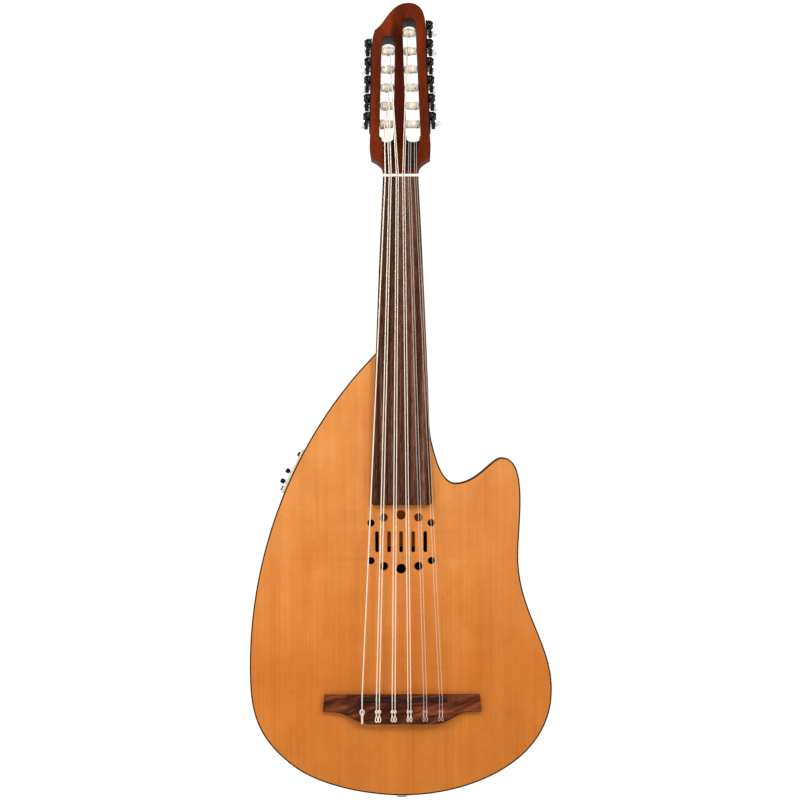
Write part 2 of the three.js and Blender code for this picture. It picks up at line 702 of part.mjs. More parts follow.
function roller(span) {
  const gearIn = span.gear - GEAR_THICKNESS / 2;
  const gearOut = span.gear + GEAR_THICKNESS / 2;
  return turned([
    [0, span.inner - ROLLER_PIN_LENGTH],
    [ROLLER_PIN, span.inner - ROLLER_PIN_LENGTH],
    [ROLLER_PIN, span.inner],
    [ROLLER_RADIUS, span.inner],
    [ROLLER_RADIUS, span.outer],
    [ROLLER_SHAFT, span.outer],
    [ROLLER_SHAFT, gearIn],
    [GEAR_RADIUS, gearIn],
    [GEAR_RADIUS, gearOut],
    [0, gearOut],
  ], 'x', 15);
}

function tuningKey() {
  const shaft = turned([
    [0, 0.8],
    [SHAFT_RADIUS, 0.8],
    [SHAFT_RADIUS, LUG_FRONT + LUG_THICKNESS + GAP],
    [WORM_RADIUS, LUG_FRONT + LUG_THICKNESS + GAP],
    [WORM_RADIUS, LUG_BACK - GAP],
    [SHAFT_RADIUS, LUG_BACK - GAP],
    [SHAFT_RADIUS, SHAFT_END],
    [0, SHAFT_END],
  ], 'y');
  const outline = new THREE.Shape();
  const half = BUTTON_HALF_WIDTH;
  outline.moveTo(-2.6, 0);
  outline.bezierCurveTo(-4, 3, -half, 2.5, -half, BUTTON_LENGTH * 0.6);
  outline.bezierCurveTo(-half, BUTTON_LENGTH, -3, BUTTON_LENGTH, 0, BUTTON_LENGTH);
  outline.bezierCurveTo(3, BUTTON_LENGTH, half, BUTTON_LENGTH, half, BUTTON_LENGTH * 0.6);
  outline.bezierCurveTo(half, 2.5, 4, 3, 2.6, 0);
  const button = new THREE.ExtrudeGeometry(outline, {
    depth: BUTTON_THICKNESS,
    bevelEnabled: false,
    curveSegments: 4,
  });
  button.translate(0, BUTTON_FROM, -BUTTON_THICKNESS / 2);
  return join(shaft, button);
}

// ---- Strings ---------------------------------------------------------------------------
// A taut route with a sharp bend at each support.
class Taut extends THREE.Curve {
  constructor(points) {
    super();
    this.points = points;
  }

  getPoint(t, target = new THREE.Vector3()) {
    const place = Math.min(Math.max(t, 0), 1) * (this.points.length - 1);
    const i = Math.min(Math.floor(place), this.points.length - 2);
    return target.lerpVectors(this.points[i], this.points[i + 1], place - i);
  }

  getPointAt(t, target) {
    return this.getPoint(t, target);
  }

  getSpacedPoints() {
    return this.points;
  }

  getTangentAt(t, target) {
    return this.getTangent(t, target);
  }
}

function stringSolid(points, radius) {
  const section = new THREE.Shape().absarc(0, 0, radius, 0, 2 * Math.PI, false);
  return new THREE.ExtrudeGeometry(section, {
    extrudePath: new Taut(points),
    steps: points.length - 1,
    curveSegments: 4,
    bevelEnabled: false,
  });
}

function stringRoute(nutX, saddleX, radius, side, i) {
  const sleeve = ROLLER_DEPTH - ROLLER_RADIUS - GAP - radius;
  const landing = new THREE.Vector3(LANDINGS[side][i], sleeve, rollerHeight(i));
  landing.applyAxisAngle(new THREE.Vector3(1, 0, 0), -HEAD_TILT).z += HEAD_PIVOT_Z;
  const overNut = NUT_TOP - GAP - radius;
  const overSaddle = SADDLE_TOP - GAP - radius;
  const onBlock = -BRIDGE_BLOCK - GAP - radius - 0.4;
  return [
    new THREE.Vector3(saddleX, onBlock, TIE_Z),
    new THREE.Vector3(saddleX, onBlock, TIE_Z + 6),
    new THREE.Vector3(saddleX, overSaddle, SADDLE_Z[0]),
    new THREE.Vector3(saddleX, overSaddle, SADDLE_Z[1]),
    new THREE.Vector3(nutX, overNut, NUT_Z[0]),
    new THREE.Vector3(nutX, overNut, NUT_Z[1]),
    landing,
  ];
}

// ---- Electronics -----------------------------------------------------------------------
function roundedPlate(halfLength, halfWidth, corner, from, to) {
  const shape = new THREE.Shape();
  shape.absarc(halfLength - corner, halfWidth - corner, corner, 0, Math.PI / 2, false);
  shape.absarc(corner - halfLength, halfWidth - corner, corner, Math.PI / 2, Math.PI, false);
  shape.absarc(corner - halfLength, corner - halfWidth, corner, Math.PI, 1.5 * Math.PI, false);
  shape.absarc(halfLength - corner, corner - halfWidth, corner, 1.5 * Math.PI, 2 * Math.PI, false);
  const geometry = new THREE.ExtrudeGeometry(shape, {
    depth: to - from,
    bevelEnabled: false,
    curveSegments: 4,
  });
  return geometry.rotateY(Math.PI / 2).translate(from, 0, 0);
}

const knobBore = (z) => rod(KNOB_SHAFT + GAP, KNOB_END - 1, 10, 'x').translate(0, KNOB_Y, z);
const buttonWidth = [
  KNOB_Y - TUNER_BUTTON.halfWidth - GAP,
  KNOB_Y + TUNER_BUTTON.halfWidth + GAP,
];
const DRAWER_GAP = 0.5;

function preampBezel() {
  const drawerWindow = box(
    [-10, 10],
    [DRAWER.y[0] - DRAWER_GAP, DRAWER.y[1] + DRAWER_GAP],
    [DRAWER.z[0] - DRAWER_GAP, DRAWER.z[1] + DRAWER_GAP],
  );
  const buttonWindow = box(
    [-10, 10],
    buttonWidth,
    [TUNER_BUTTON.z - TUNER_BUTTON.halfLength - GAP, TUNER_BUTTON.z + TUNER_BUTTON.halfLength + GAP],
  );
  return cut(
    roundedPlate(BEZEL.halfLength, BEZEL.halfWidth, 4, BEZEL.in, BEZEL.out),
    drawerWindow,
    buttonWindow,
    knobBore(VOLUME_Z),
    knobBore(BLEND_Z),
  );
}

function preampHousing() {
  const face = BEZEL.in - GAP;
  const drawerBay = box(
    [-DRAWER.depth - DRAWER_GAP, 10],
    [DRAWER.y[0] - DRAWER_GAP, DRAWER.y[1] + DRAWER_GAP],
    [DRAWER.z[0] - DRAWER_GAP, DRAWER.z[1] + DRAWER_GAP],
  );
  const buttonPocket = box(
    [face - TUNER_BUTTON.room, 10],
    buttonWidth,
    [HOUSING.z[0] - 1, TUNER_BUTTON.z + TUNER_BUTTON.halfLength + GAP],
  );
  const body = box([-HOUSING.depth, face], HOUSING.y, HOUSING.z);
  return cut(body, drawerBay, buttonPocket, knobBore(VOLUME_Z), knobBore(BLEND_Z));
}

const DRAWER_WALL = 1.5;
const DRAWER_RIBS = { z: [13, 18], width: 2.2, y: [3, 14], height: 1.3 };

function batteryDrawer() {
  const outer = box([-DRAWER.depth, BEZEL.out], DRAWER.y, DRAWER.z);
  const pocket = box(
    [-DRAWER.depth + DRAWER_WALL, -BATTERY_END],
    [DRAWER.y[0] - OVERLAP, DRAWER.y[1] - DRAWER_WALL],
    [DRAWER.z[0] + DRAWER_WALL, DRAWER.z[1] - DRAWER_WALL],
  );
  const ribs = DRAWER_RIBS.z.map((z) => box(
    [0, BEZEL.out + DRAWER_RIBS.height],
    DRAWER_RIBS.y,
    [z, z + DRAWER_RIBS.width],
  ));
  return join(cut(outer, pocket), ...ribs);
}

function battery() {
  const start = -BATTERY_END - GAP - BATTERY.length;
  const middleZ = (DRAWER.z[0] + DRAWER.z[1]) / 2;
  const back = DRAWER.y[1] - DRAWER_WALL - GAP;
  return box(
    [start, start + BATTERY.length],
    [back - BATTERY.thickness, back],
    [middleZ - BATTERY.width / 2, middleZ + BATTERY.width / 2],
  );
}

function knob(fluted) {
  const profile = [
    [0, KNOB_END],
    [KNOB_SHAFT, KNOB_END],
    [KNOB_SHAFT, KNOB_FOOT],
    [KNOB_RADIUS, KNOB_FOOT],
    [KNOB_RADIUS, KNOB_TOP - 0.8],
    [KNOB_RADIUS - 0.8, KNOB_TOP],
    [0, KNOB_TOP],
  ];
  return turned(profile, 'x', fluted ? 8 : 16);
}

function outputJack() {
  return turned([
    [JACK_BORE, JACK_END],
    [JACK_RADIUS, JACK_END],
    [JACK_RADIUS, JACK_TOP - JACK_TIP],
    [JACK_RADIUS - 1.5, JACK_TOP],
    [0, JACK_TOP],
    [0, JACK_TOP - JACK_TIP],
    [JACK_BORE, JACK_TOP - JACK_TIP],
    [JACK_BORE, JACK_END],
  ], 'z', 20).translate(JACK_X, JACK_Y, 0);
}

function jackFlange() {
  return turned([
    [JACK_RADIUS + GAP, FLANGE.out],
    [FLANGE.radius - FLANGE.edge, FLANGE.out],
    [FLANGE.radius, FLANGE.out + FLANGE.edge],
    [FLANGE.radius, FLANGE.in],
    [JACK_RADIUS + GAP, FLANGE.in],
    [JACK_RADIUS + GAP, FLANGE.out],
  ], 'z', 20).translate(JACK_X, JACK_Y, 0);
}

function strapButton() {
  return turned([
    [0, 0],
    [6.5, 0],
    [6.5, 1.5],
    [3.6, 4],
    [3.6, 8],
    [6, 10.5],
    [6, 12],
    [0, 12],
  ], 'y', 16);
}

// ---- Assembly --------------------------------------------------------------------------
add('body_rim_left', leftRim(), mahogany);
add('body_rim_right', rightRim(), mahogany);
add('neck_block', neckBlock(), mahogany);
add('body_back', bodyBlank(BODY_DEPTH - BACK_THICKNESS, BODY_DEPTH), mahogany);
add('soundboard', soundboard(), cedar);
add('binding', binding(), darkBinding);
add('soundboard_bracing', bracing(), spruce);
add('bridge', bridge(), rosewood);
add('saddle', saddle(), graphite);
add('saddle_pickup', box(
  [-SADDLE_HALF + 1, SADDLE_HALF - 1],
  [SADDLE_FOOT + GAP, SADDLE_SLOT_FLOOR - GAP],
  [SADDLE_Z[0] + 0.4, SADDLE_Z[1] - 0.4],
), nickel);
add('neck', neck(), mahogany);
add('truss_rod', box([-ROD.half, ROD.half], ROD.y, ROD.z), steel);
add('fingerboard', fingerboard(), rosewood);
add('nut', nut(), bone);
add('headstock', headstock(), mahogany, headFrame);

for (const [key, side] of Object.entries(SIDES)) {
  add(`tuner_plate_${key}`, tunerPlate(side, key), blackMetal, headFrame);
  for (let i = 0; i < side.count; i += 1) {
    const span = rollerSpan(side, SLOTS[key], i);
    const rollerMesh = add(`roller_${key}_${i + 1}`, roller(span), ivoryPlastic, headFrame);
    rollerMesh.position.set(0, ROLLER_DEPTH, span.z);
    if (side.sign < 0) rollerMesh.rotation.z = Math.PI;
    const keyMesh = add(`tuning_key_${key}_${i + 1}`, tuningKey(), pearl, headFrame);
    keyMesh.position.set(side.sign * span.gear, 0, span.z + WORM_OFFSET);
    keyMesh.rotation.y = THREE.MathUtils.degToRad(BUTTON_TURN[key][i]) * side.sign;
  }
}

// The five strings on the left go to the left rollers, the outermost to the nearest one.
const strings = COURSES.flatMap(({ nut: nutX, saddle: saddleX, radii }) =>
  radii.map((radius, i) => {
    const offset = radii.length === 1 ? 0 : 2 * i - 1;
    return { nutX: nutX + offset * PAIR_AT_NUT, saddleX: saddleX + offset * PAIR_AT_SADDLE, radius };
  }));
strings.forEach(({ nutX, saddleX, radius }, i) => {
  const onLeft = i < SIDES.left.count;
  const side = onLeft ? 'left' : 'right';
  const place = onLeft ? i : strings.length - 1 - i;
  const route = stringRoute(nutX, saddleX, radius, side, place);
  const material = i < 7 ? woundSteel : nylon;
  add(`string_${i + 1}`, stringSolid(route, radius), material);
});

const preamp = new THREE.Group();
preamp.position.set(PREAMP_X, PREAMP_Y, PREAMP_Z);
preamp.rotation.y = PREAMP_TURN;
instrument.add(preamp);
add('preamp_bezel', preampBezel(), creamPlastic, preamp);
add('preamp_housing', preampHousing(), blackPlastic, preamp);
add('battery_drawer', batteryDrawer(), creamPlastic, preamp);
add('battery', battery(), steel, preamp);
add('volume_knob', knob(false), blackPlastic, preamp).position.set(0, KNOB_Y, VOLUME_Z);
add('blend_knob', knob(true), blackPlastic, preamp).position.set(0, KNOB_Y, BLEND_Z);
add('tuner_button', box(
  [TUNER_BUTTON.inner, BEZEL.out + TUNER_BUTTON.proud],
  [-TUNER_BUTTON.halfWidth, TUNER_BUTTON.halfWidth],
  [-TUNER_BUTTON.halfLength, TUNER_BUTTON.halfLength],
), blackPlastic, preamp).position.set(0, KNOB_Y, TUNER_BUTTON.z);

add('output_jack', outputJack(), blackMetal);
add('jack_flange', jackFlange(), nickel);
add('strap_button', strapButton(), nickel).position.set(0, BODY_DEPTH + GAP, STRAP_BUTTON_Z);

export default instrument;
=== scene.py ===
"""Looks of the fretless eleven-string oud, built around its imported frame. Metres, +Z up the neck."""

import json
import math

import bmesh
import bpy
from mathutils import Matrix, Vector
from mathutils.bvhtree import BVHTree


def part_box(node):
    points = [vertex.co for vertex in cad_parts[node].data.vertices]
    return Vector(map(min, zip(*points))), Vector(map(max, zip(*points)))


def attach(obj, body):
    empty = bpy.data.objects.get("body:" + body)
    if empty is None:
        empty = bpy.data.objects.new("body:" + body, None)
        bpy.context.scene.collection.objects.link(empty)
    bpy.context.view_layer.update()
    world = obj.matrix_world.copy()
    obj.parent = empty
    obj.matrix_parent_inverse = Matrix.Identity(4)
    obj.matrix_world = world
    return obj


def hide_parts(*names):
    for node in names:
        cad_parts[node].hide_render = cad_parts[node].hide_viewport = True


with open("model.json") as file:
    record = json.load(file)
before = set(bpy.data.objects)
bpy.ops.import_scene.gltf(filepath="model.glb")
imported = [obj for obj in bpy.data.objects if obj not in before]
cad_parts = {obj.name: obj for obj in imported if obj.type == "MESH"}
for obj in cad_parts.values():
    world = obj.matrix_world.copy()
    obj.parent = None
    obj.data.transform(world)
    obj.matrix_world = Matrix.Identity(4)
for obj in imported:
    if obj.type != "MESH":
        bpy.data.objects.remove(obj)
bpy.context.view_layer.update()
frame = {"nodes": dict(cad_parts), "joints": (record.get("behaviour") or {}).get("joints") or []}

# ---- Named sizes -----------------------------------------------------------------------
MM = 0.001
MAIN_BODY = "instrument"
X_AXIS = Vector((1, 0, 0))

BODY_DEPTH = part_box("body_back")[1].y
BODY_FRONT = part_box("neck_block")[0].y
TOP_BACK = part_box("soundboard")[1].y
WALL = 6 * MM
BACK_THICKNESS = BODY_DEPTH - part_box("body_back")[0].y
BLOCK_RECESS = 12 * MM
BACK_ROUND = 9 * MM
BINDING_WIDTH = 1.5 * MM
BINDING_GAP = 0.3 * MM

ROLLER_SHAFT = 2.6 * MM
ROLLER_PIN = 2.2 * MM
SLEEVE_RADIUS = 4.4 * MM
GEAR_RADIUS = 5.8 * MM
GEAR_TEETH = 15
WORM_RADIUS = 2.9 * MM
SHAFT_RADIUS = 1.6 * MM
WORM_SPAN = (4.3 * MM, 15.7 * MM)
BUTTON_SPAN = (30.5 * MM, 46.5 * MM)
BUTTON_HALF = 8.8 * MM
BUTTON_THICKNESS = 7 * MM
KNOB_RADIUS = 2.6 * MM
PLATE_SEATING = 0.27 * MM
HOLE_RADIUS = 0.85 * MM
HOLE_INSET = 2.9 * MM      # how far a string hole is from its roller's outer end
HOLE_TURNS = {             # where each roller has come to rest, top roller first, in degrees
    "left": [-75, 17, 95, -30, -10],
    "right": [80, 24, -60, -22, 120, 25],
}

STRING_RADII = [0.68, 0.58, 0.58, 0.52, 0.52, 0.47, 0.47, 0.45, 0.45, 0.38, 0.38]
WOUND_STRINGS = 7
TURNS_ON_ROLLER = 3.5

CAMERA_DISTANCE = 8.0
CAMERA_TARGET = Vector((-1.6 * MM, 0, -258 * MM))
FRAME_WIDTH = 0.88
CAMERA_ROLL = 0.0035

KEYS = {j["child"]: j for j in frame["joints"] if j["name"].startswith("key_")}
ROLLERS = {j["child"]: j for j in frame["joints"] if j["name"].startswith("roller_")}
FIRST_KEY = next(iter(KEYS.values()))
HEAD_BACK = Vector(FIRST_KEY["axis"]).normalized()
HEAD_UP = X_AXIS.cross(HEAD_BACK)
HEAD_FOOT_Z = -9 * MM


# ---- Mesh helpers ----------------------------------------------------------------------
def add_object(name, mesh):
    piece = bpy.data.objects.new(name, mesh)
    bpy.context.scene.collection.objects.link(piece)
    return piece


def mesh_object(name, verts, faces):
    mesh = bpy.data.meshes.new(name)
    mesh.from_pydata([tuple(v) for v in verts], [], faces)
    mesh.update()
    return add_object(name, mesh)


def recalculate(piece):
    bm = bmesh.new()
    bm.from_mesh(piece.data)
    bmesh.ops.recalc_face_normals(bm, faces=bm.faces)
    bm.to_mesh(piece.data)
    bm.free()


def shade(piece, angle=32):
    """Smooth shading with a hard edge wherever two faces meet at more than the angle."""
    limit = math.radians(angle)
    bm = bmesh.new()
    bm.from_mesh(piece.data)
    for face in bm.faces:
        face.smooth = True
    for edge in bm.edges:
        edge.smooth = len(edge.link_faces) == 2 and edge.calc_face_angle(0) < limit
    bm.to_mesh(piece.data)
    bm.free()
    return piece


def bake_modifiers(piece):
    graph = bpy.context.evaluated_depsgraph_get()
    mesh = bpy.data.meshes.new_from_object(piece.evaluated_get(graph))
    piece.modifiers.clear()
    piece.data = mesh
    return piece


def bevel(piece, width, segments=2, angle=35):
    modifier = piece.modifiers.new("edge", "BEVEL")
    modifier.width = width
    modifier.segments = segments
    modifier.limit_method = "ANGLE"
    modifier.angle_limit = math.radians(angle)
    modifier.use_clamp_overlap = True
    return bake_modifiers(piece)


def cut(piece, cutters):
    for cutter in cutters:
        modifier = piece.modifiers.new("cut", "BOOLEAN")
        modifier.operation = "DIFFERENCE"
        modifier.solver = "EXACT"
        modifier.object = cutter
        bake_modifiers(piece)
        bpy.data.objects.remove(cutter)
    return piece


def tidy_mesh(piece, merge_flats=True, join=2e-5):
    """Joins near points and removes the slivers and seams that a cut or a bevel leaves."""
    bm = bmesh.new()
    bm.from_mesh(piece.data)
    bmesh.ops.remove_doubles(bm, verts=bm.verts, dist=join)
    bmesh.ops.dissolve_degenerate(bm, edges=bm.edges, dist=join)
    if merge_flats:
        limit = math.radians(0.1)
        bmesh.ops.dissolve_limit(bm, angle_limit=limit, verts=bm.verts, edges=bm.edges)
    bm.to_mesh(piece.data)
    bm.free()


def refined(name, node, width, segments=2, angle=35):
    """A copy of a CAD node with its flat faces merged and its edges softly rounded."""
    piece = add_object(name, frame["nodes"][node].data.copy())
    bm = bmesh.new()
    bm.from_mesh(piece.data)
    bmesh.ops.remove_doubles(bm, verts=bm.verts, dist=1e-6)
    bmesh.ops.dissolve_limit(bm, angle_limit=math.radians(0.6), verts=bm.verts, edges=bm.edges)
    bm.to_mesh(piece.data)
    bm.free()
    piece.data.materials.clear()
    if piece.data.has_custom_normals:
        bpy.context.view_layer.objects.active = piece
        bpy.ops.mesh.customdata_custom_splitnormals_clear()
    bevel(piece, width, segments, angle)
    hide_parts(node)
    return shade(piece)


def front_loops(node):
    """The closed outlines of a node's foremost flat face, longest first."""
    bm = bmesh.new()
    bm.from_mesh(frame["nodes"][node].data)
    bmesh.ops.remove_doubles(bm, verts=bm.verts, dist=1e-6)
    front = min(v.co.y for v in bm.verts)
    chosen = {f for f in bm.faces if all(abs(v.co.y - front) < 1e-5 for v in f.verts)}
    edges = {e for f in chosen for e in f.edges if sum(g in chosen for g in e.link_faces) == 1}
    loops = []
    while edges:
        edge = edges.pop()
        start, here = edge.verts
        points = [start.co.copy()]
        while here is not start:
            points.append(here.co.copy())
            edge = next(e for e in here.link_edges if e in edges)
            edges.remove(edge)
            here = edge.other_vert(here)
        loops.append(points)
    bm.free()
    return sorted(loops, key=loop_length, reverse=True)


def loop_length(points):
    return sum((a - b).length for a, b in zip(points, points[1:] + points[:1]))


def smooth_loop(points, step, corner=24):
    """A rounder copy of a closed outline that passes through its points and keeps its corners."""
    count = len(points)
    limit = math.cos(math.radians(corner))
    arriving = [(points[i] - points[i - 1]).normalized() for i in range(count)]
    result = []
    for i in range(count):
        after = (i + 1) % count
        run = points[after] - points[i]
        length = run.length
        straight = run.normalized()
        sharp_here = arriving[i].dot(straight) < limit
        leaving_next = (points[(after + 1) % count] - points[after]).normalized()
        sharp_next = straight.dot(leaving_next) < limit
        start = straight if sharp_here else (arriving[i] + straight).normalized()
        end = straight if sharp_next else (straight + leaving_next).normalized()
        pieces = max(1, round(length / step))
        for k in range(pieces):
            t = k / pieces
            result.append(
                points[i] * (2 * t**3 - 3 * t**2 + 1)
                + start * length * (t**3 - 2 * t**2 + t)
                + points[after] * (3 * t**2 - 2 * t**3)
                + end * length * (t**3 - t**2)
            )
    return result


def stadium(points):
    """A long hole's outline with straight sides and half-round ends, from its bounds."""
    left, right = min(p.x for p in points), max(p.x for p in points)
    foot, top = min(p.z for p in points), max(p.z for p in points)
    radius = (right - left) / 2
    steps = 12
    result = []
    for height, start in ((top - radius, 0), (foot + radius, math.pi)):
        for i in range(steps + 1):
            angle = start + math.pi * i / steps
            x = left + radius + radius * math.cos(angle)
            result.append(Vector((x, points[0].y, height + radius * math.sin(angle))))
    return result


def signed_area(points):
    pairs = zip(points, points[1:] + points[:1])
    return sum(a.x * b.z - b.x * a.z for a, b in pairs) / 2


def inset(points, distance):
    """The outline moved inwards in the X-Z plane."""
    side = 1 if signed_area(points) > 0 else -1
    count = len(points)
    moved = []
    for i, point in enumerate(points):
        before = (point - points[i - 1]).normalized()
        after = (points[(i + 1) % count] - point).normalized()
        normal = Vector((-(before.z + after.z), 0, before.x + after.x)).normalized() * side
        reach = normal.dot(Vector((-before.z, 0, before.x)) * side)
        moved.append(point + normal * (distance / max(reach, 0.5)))
    return moved


def rings_object(name, rings, closed_ring=True, caps=True):
    """A skin over rings of equal point counts."""
    count = len(rings[0])
    verts = [v for ring in rings for v in ring]
    faces = []
    last = count if closed_ring else count - 1
    for r in range(len(rings) - 1):
        for i in range(last):
            a = r * count + i
            b = r * count + (i + 1) % count
            faces.append((a, b, b + count, a + count))
    if caps:
        faces.append(tuple(range(count)))
        faces.append(tuple((len(rings) - 1) * count + i for i in range(count)))
    piece = mesh_object(name, verts, faces)
    recalculate(piece)
    return piece


def at_depth(points, y):
    return [Vector((p.x, y, p.z)) for p in points]


def prism(name, low, high):
    corners = [(low[0], low[2]), (high[0], low[2]), (high[0], high[2]), (low[0], high[2])]
    rings = [[Vector((x, y, z)) for x, z in corners] for y in (low[1], high[1])]
    return rings_object(name, rings)


def plate_object(name, outer, holes, front, back, edge):
    """A flat plate in the X-Z plane with holes and a small rounded edge."""
    curve = bpy.data.curves.new(name, "CURVE")
    curve.dimensions = "2D"
    curve.fill_mode = "BOTH"
    curve.extrude = (back - front) / 2 - edge
    curve.bevel_depth = edge
    curve.bevel_resolution = 1
    for points in [outer, *holes]:
        spline = curve.splines.new("POLY")
        spline.points.add(len(points) - 1)
        for target, p in zip(spline.points, points):
            target.co = (p.x, p.z, 0, 1)
        spline.use_cyclic_u = True
    shape = add_object(name + "_curve", curve)
    mesh = bpy.data.meshes.new_from_object(
        shape.evaluated_get(bpy.context.evaluated_depsgraph_get())
    )
    bpy.data.objects.remove(shape)
    mesh.transform(Matrix.Rotation(math.pi / 2, 4, "X"))
    mesh.transform(Matrix.Translation((0, (front + back) / 2, 0)))
    piece = add_object(name, mesh)
    bm = bmesh.new()
    bm.from_mesh(mesh)
    bmesh.ops.remove_doubles(bm, verts=bm.verts, dist=1e-7)
    bmesh.ops.recalc_face_normals(bm, faces=bm.faces)
    bm.to_mesh(mesh)
    bm.free()
    return shade(piece)


def tree_of(piece):
    bm = bmesh.new()
    bm.from_mesh(piece.data)
    tree = BVHTree.FromBMesh(bm)
    bm.free()
    return tree


def frame_along(origin, axis, side):
    """A matrix whose Z runs along the axis and whose X leans towards side."""
    z = Vector(axis).normalized()
    x = (Vector(side) - z * Vector(side).dot(z)).normalized()
    y = z.cross(x)
    matrix = Matrix((x, y, z)).transposed().to_4x4()
    matrix.translation = origin
    return matrix


def lathe(name, profile, matrix, segments=40):
    """A turned solid: profile points are (radius, distance along the matrix's Z)."""
    rings = []
    for radius, along in profile:
        radius = max(radius, 1e-5)
        ring = []
        for i in range(segments):
            angle = 2 * math.pi * i / segments
            point = Vector((radius * math.cos(angle), radius * math.sin(angle), along))
            ring.append(matrix @ point)
        rings.append(ring)
    return shade(rings_object(name, rings))


def tube(name, points, radius, sides=10):
    """A round wire along points, converted to a mesh."""
    curve = bpy.data.curves.new(name, "CURVE")
    curve.dimensions = "3D"
    curve.bevel_depth = radius
    curve.bevel_resolution = sides // 2 - 2
    curve.use_fill_caps = True
    spline = curve.splines.new("POLY")
    spline.points.add(len(points) - 1)
    for target, p in zip(spline.points, points):
        target.co = (*p, 1)
    shape = add_object(name + "_curve", curve)
    mesh = bpy.data.meshes.new_from_object(
        shape.evaluated_get(bpy.context.evaluated_depsgraph_get())
    )
    bpy.data.objects.remove(shape)
    bm = bmesh.new()
    bm.from_mesh(mesh)
    bmesh.ops.remove_doubles(bm, verts=bm.verts, dist=1e-7)
    bmesh.ops.recalc_face_normals(bm, faces=bm.faces)
    bm.to_mesh(mesh)
    bm.free()
    return shade(add_object(name, mesh), 60)


# ---- Material helpers ------------------------------------------------------------------
class Shader:
    """A small builder for one procedural material."""

    def __init__(self, name, color, roughness, metallic=0.0, specular=0.5):
        self.material = bpy.data.materials.new(name)
        self.material.use_nodes = True
        self.tree = self.material.node_tree
        self.surface = self.tree.nodes["Principled BSDF"]
        self.surface.inputs["Base Color"].default_value = (*color, 1)
        self.surface.inputs["Roughness"].default_value = roughness
        self.surface.inputs["Metallic"].default_value = metallic
        self.surface.inputs["Specular IOR Level"].default_value = specular
        self.place = self.tree.nodes.new("ShaderNodeTexCoord").outputs["Object"]

    def link(self, source, target):
        self.tree.links.new(source, target)

    def noise(self, scale, detail=4.0, roughness=0.55, distortion=0.0, turn=0.0):
        """Noise whose scale differs along X, Y and Z, in cells per metre, turned about Y."""
        mapping = self.tree.nodes.new("ShaderNodeMapping")
        mapping.vector_type = "TEXTURE"
        mapping.inputs["Rotation"].default_value = (0, turn, 0)
        mapping.inputs["Scale"].default_value = [1 / cells for cells in scale]
        self.link(self.place, mapping.inputs["Vector"])
        texture = self.tree.nodes.new("ShaderNodeTexNoise")
        texture.inputs["Scale"].default_value = 1
        texture.inputs["Detail"].default_value = detail
        texture.inputs["Roughness"].default_value = roughness
        texture.inputs["Distortion"].default_value = distortion
        self.link(mapping.outputs["Vector"], texture.inputs["Vector"])
        return texture.outputs["Fac"]

    def along(self, axis, low, high):
        """0 at the low and 1 at the high place along the axis, in metres."""
        split = self.tree.nodes.new("ShaderNodeSeparateXYZ")
        self.link(self.place, split.inputs["Vector"])
        node = self.tree.nodes.new("ShaderNodeMapRange")
        node.inputs["From Min"].default_value = low
        node.inputs["From Max"].default_value = high
        self.link(split.outputs[axis], node.inputs["Value"])
        return node.outputs["Result"]

    def wave(self, scale, direction, distortion, detail_scale=1.0, profile="SIN"):
        mapping = self.tree.nodes.new("ShaderNodeMapping")
        mapping.inputs["Scale"].default_value = scale
        self.link(self.place, mapping.inputs["Vector"])
        texture = self.tree.nodes.new("ShaderNodeTexWave")
        texture.wave_type = "BANDS"
        texture.bands_direction = direction
        texture.wave_profile = profile
        texture.inputs["Scale"].default_value = 1
        texture.inputs["Distortion"].default_value = distortion
        texture.inputs["Detail"].default_value = 3
        texture.inputs["Detail Scale"].default_value = detail_scale
        self.link(mapping.outputs["Vector"], texture.inputs["Vector"])
        return texture.outputs["Fac"]

    def ramp(self, source, stops):
        node = self.tree.nodes.new("ShaderNodeValToRGB")
        elements = node.color_ramp.elements
        while len(elements) < len(stops):
            elements.new(0.5)
        for element, (position, color) in zip(elements, stops):
            element.position = position
            element.color = (*color, 1)
        self.link(source, node.inputs["Fac"])
        return node.outputs["Color"]

    def mix(self, kind, factor, first, second):
        node = self.tree.nodes.new("ShaderNodeMix")
        node.data_type = "RGBA"
        node.blend_type = kind
        slots = {"A": first, "B": second}
        colors = [s for s in node.inputs if s.type == "RGBA"]
        for socket, value in zip(colors, slots.values()):
            if isinstance(value, tuple):
                socket.default_value = (*value, 1)
            else:
                self.link(value, socket)
        if isinstance(factor, float):
            node.inputs["Factor"].default_value = factor
        else:
            self.link(factor, node.inputs["Factor"])
        return next(s for s in node.outputs if s.type == "RGBA")

    def color(self, source):
        self.link(source, self.surface.inputs["Base Color"])

    def rough(self, source, low, high):
        node = self.tree.nodes.new("ShaderNodeMapRange")
        node.inputs["To Min"].default_value = low
        node.inputs["To Max"].default_value = high
        self.link(source, node.inputs["Value"])
        self.link(node.outputs["Result"], self.surface.inputs["Roughness"])

    def bump(self, source, distance, strength=1.0):
        node = self.tree.nodes.new("ShaderNodeBump")
        node.inputs["Distance"].default_value = distance
        node.inputs["Strength"].default_value = strength
        self.link(source, node.inputs["Height"])
        self.link(node.outputs["Normal"], self.surface.inputs["Normal"])

    def coat(self, weight, roughness):
        self.surface.inputs["Coat Weight"].default_value = weight
        self.surface.inputs["Coat Roughness"].default_value = roughness


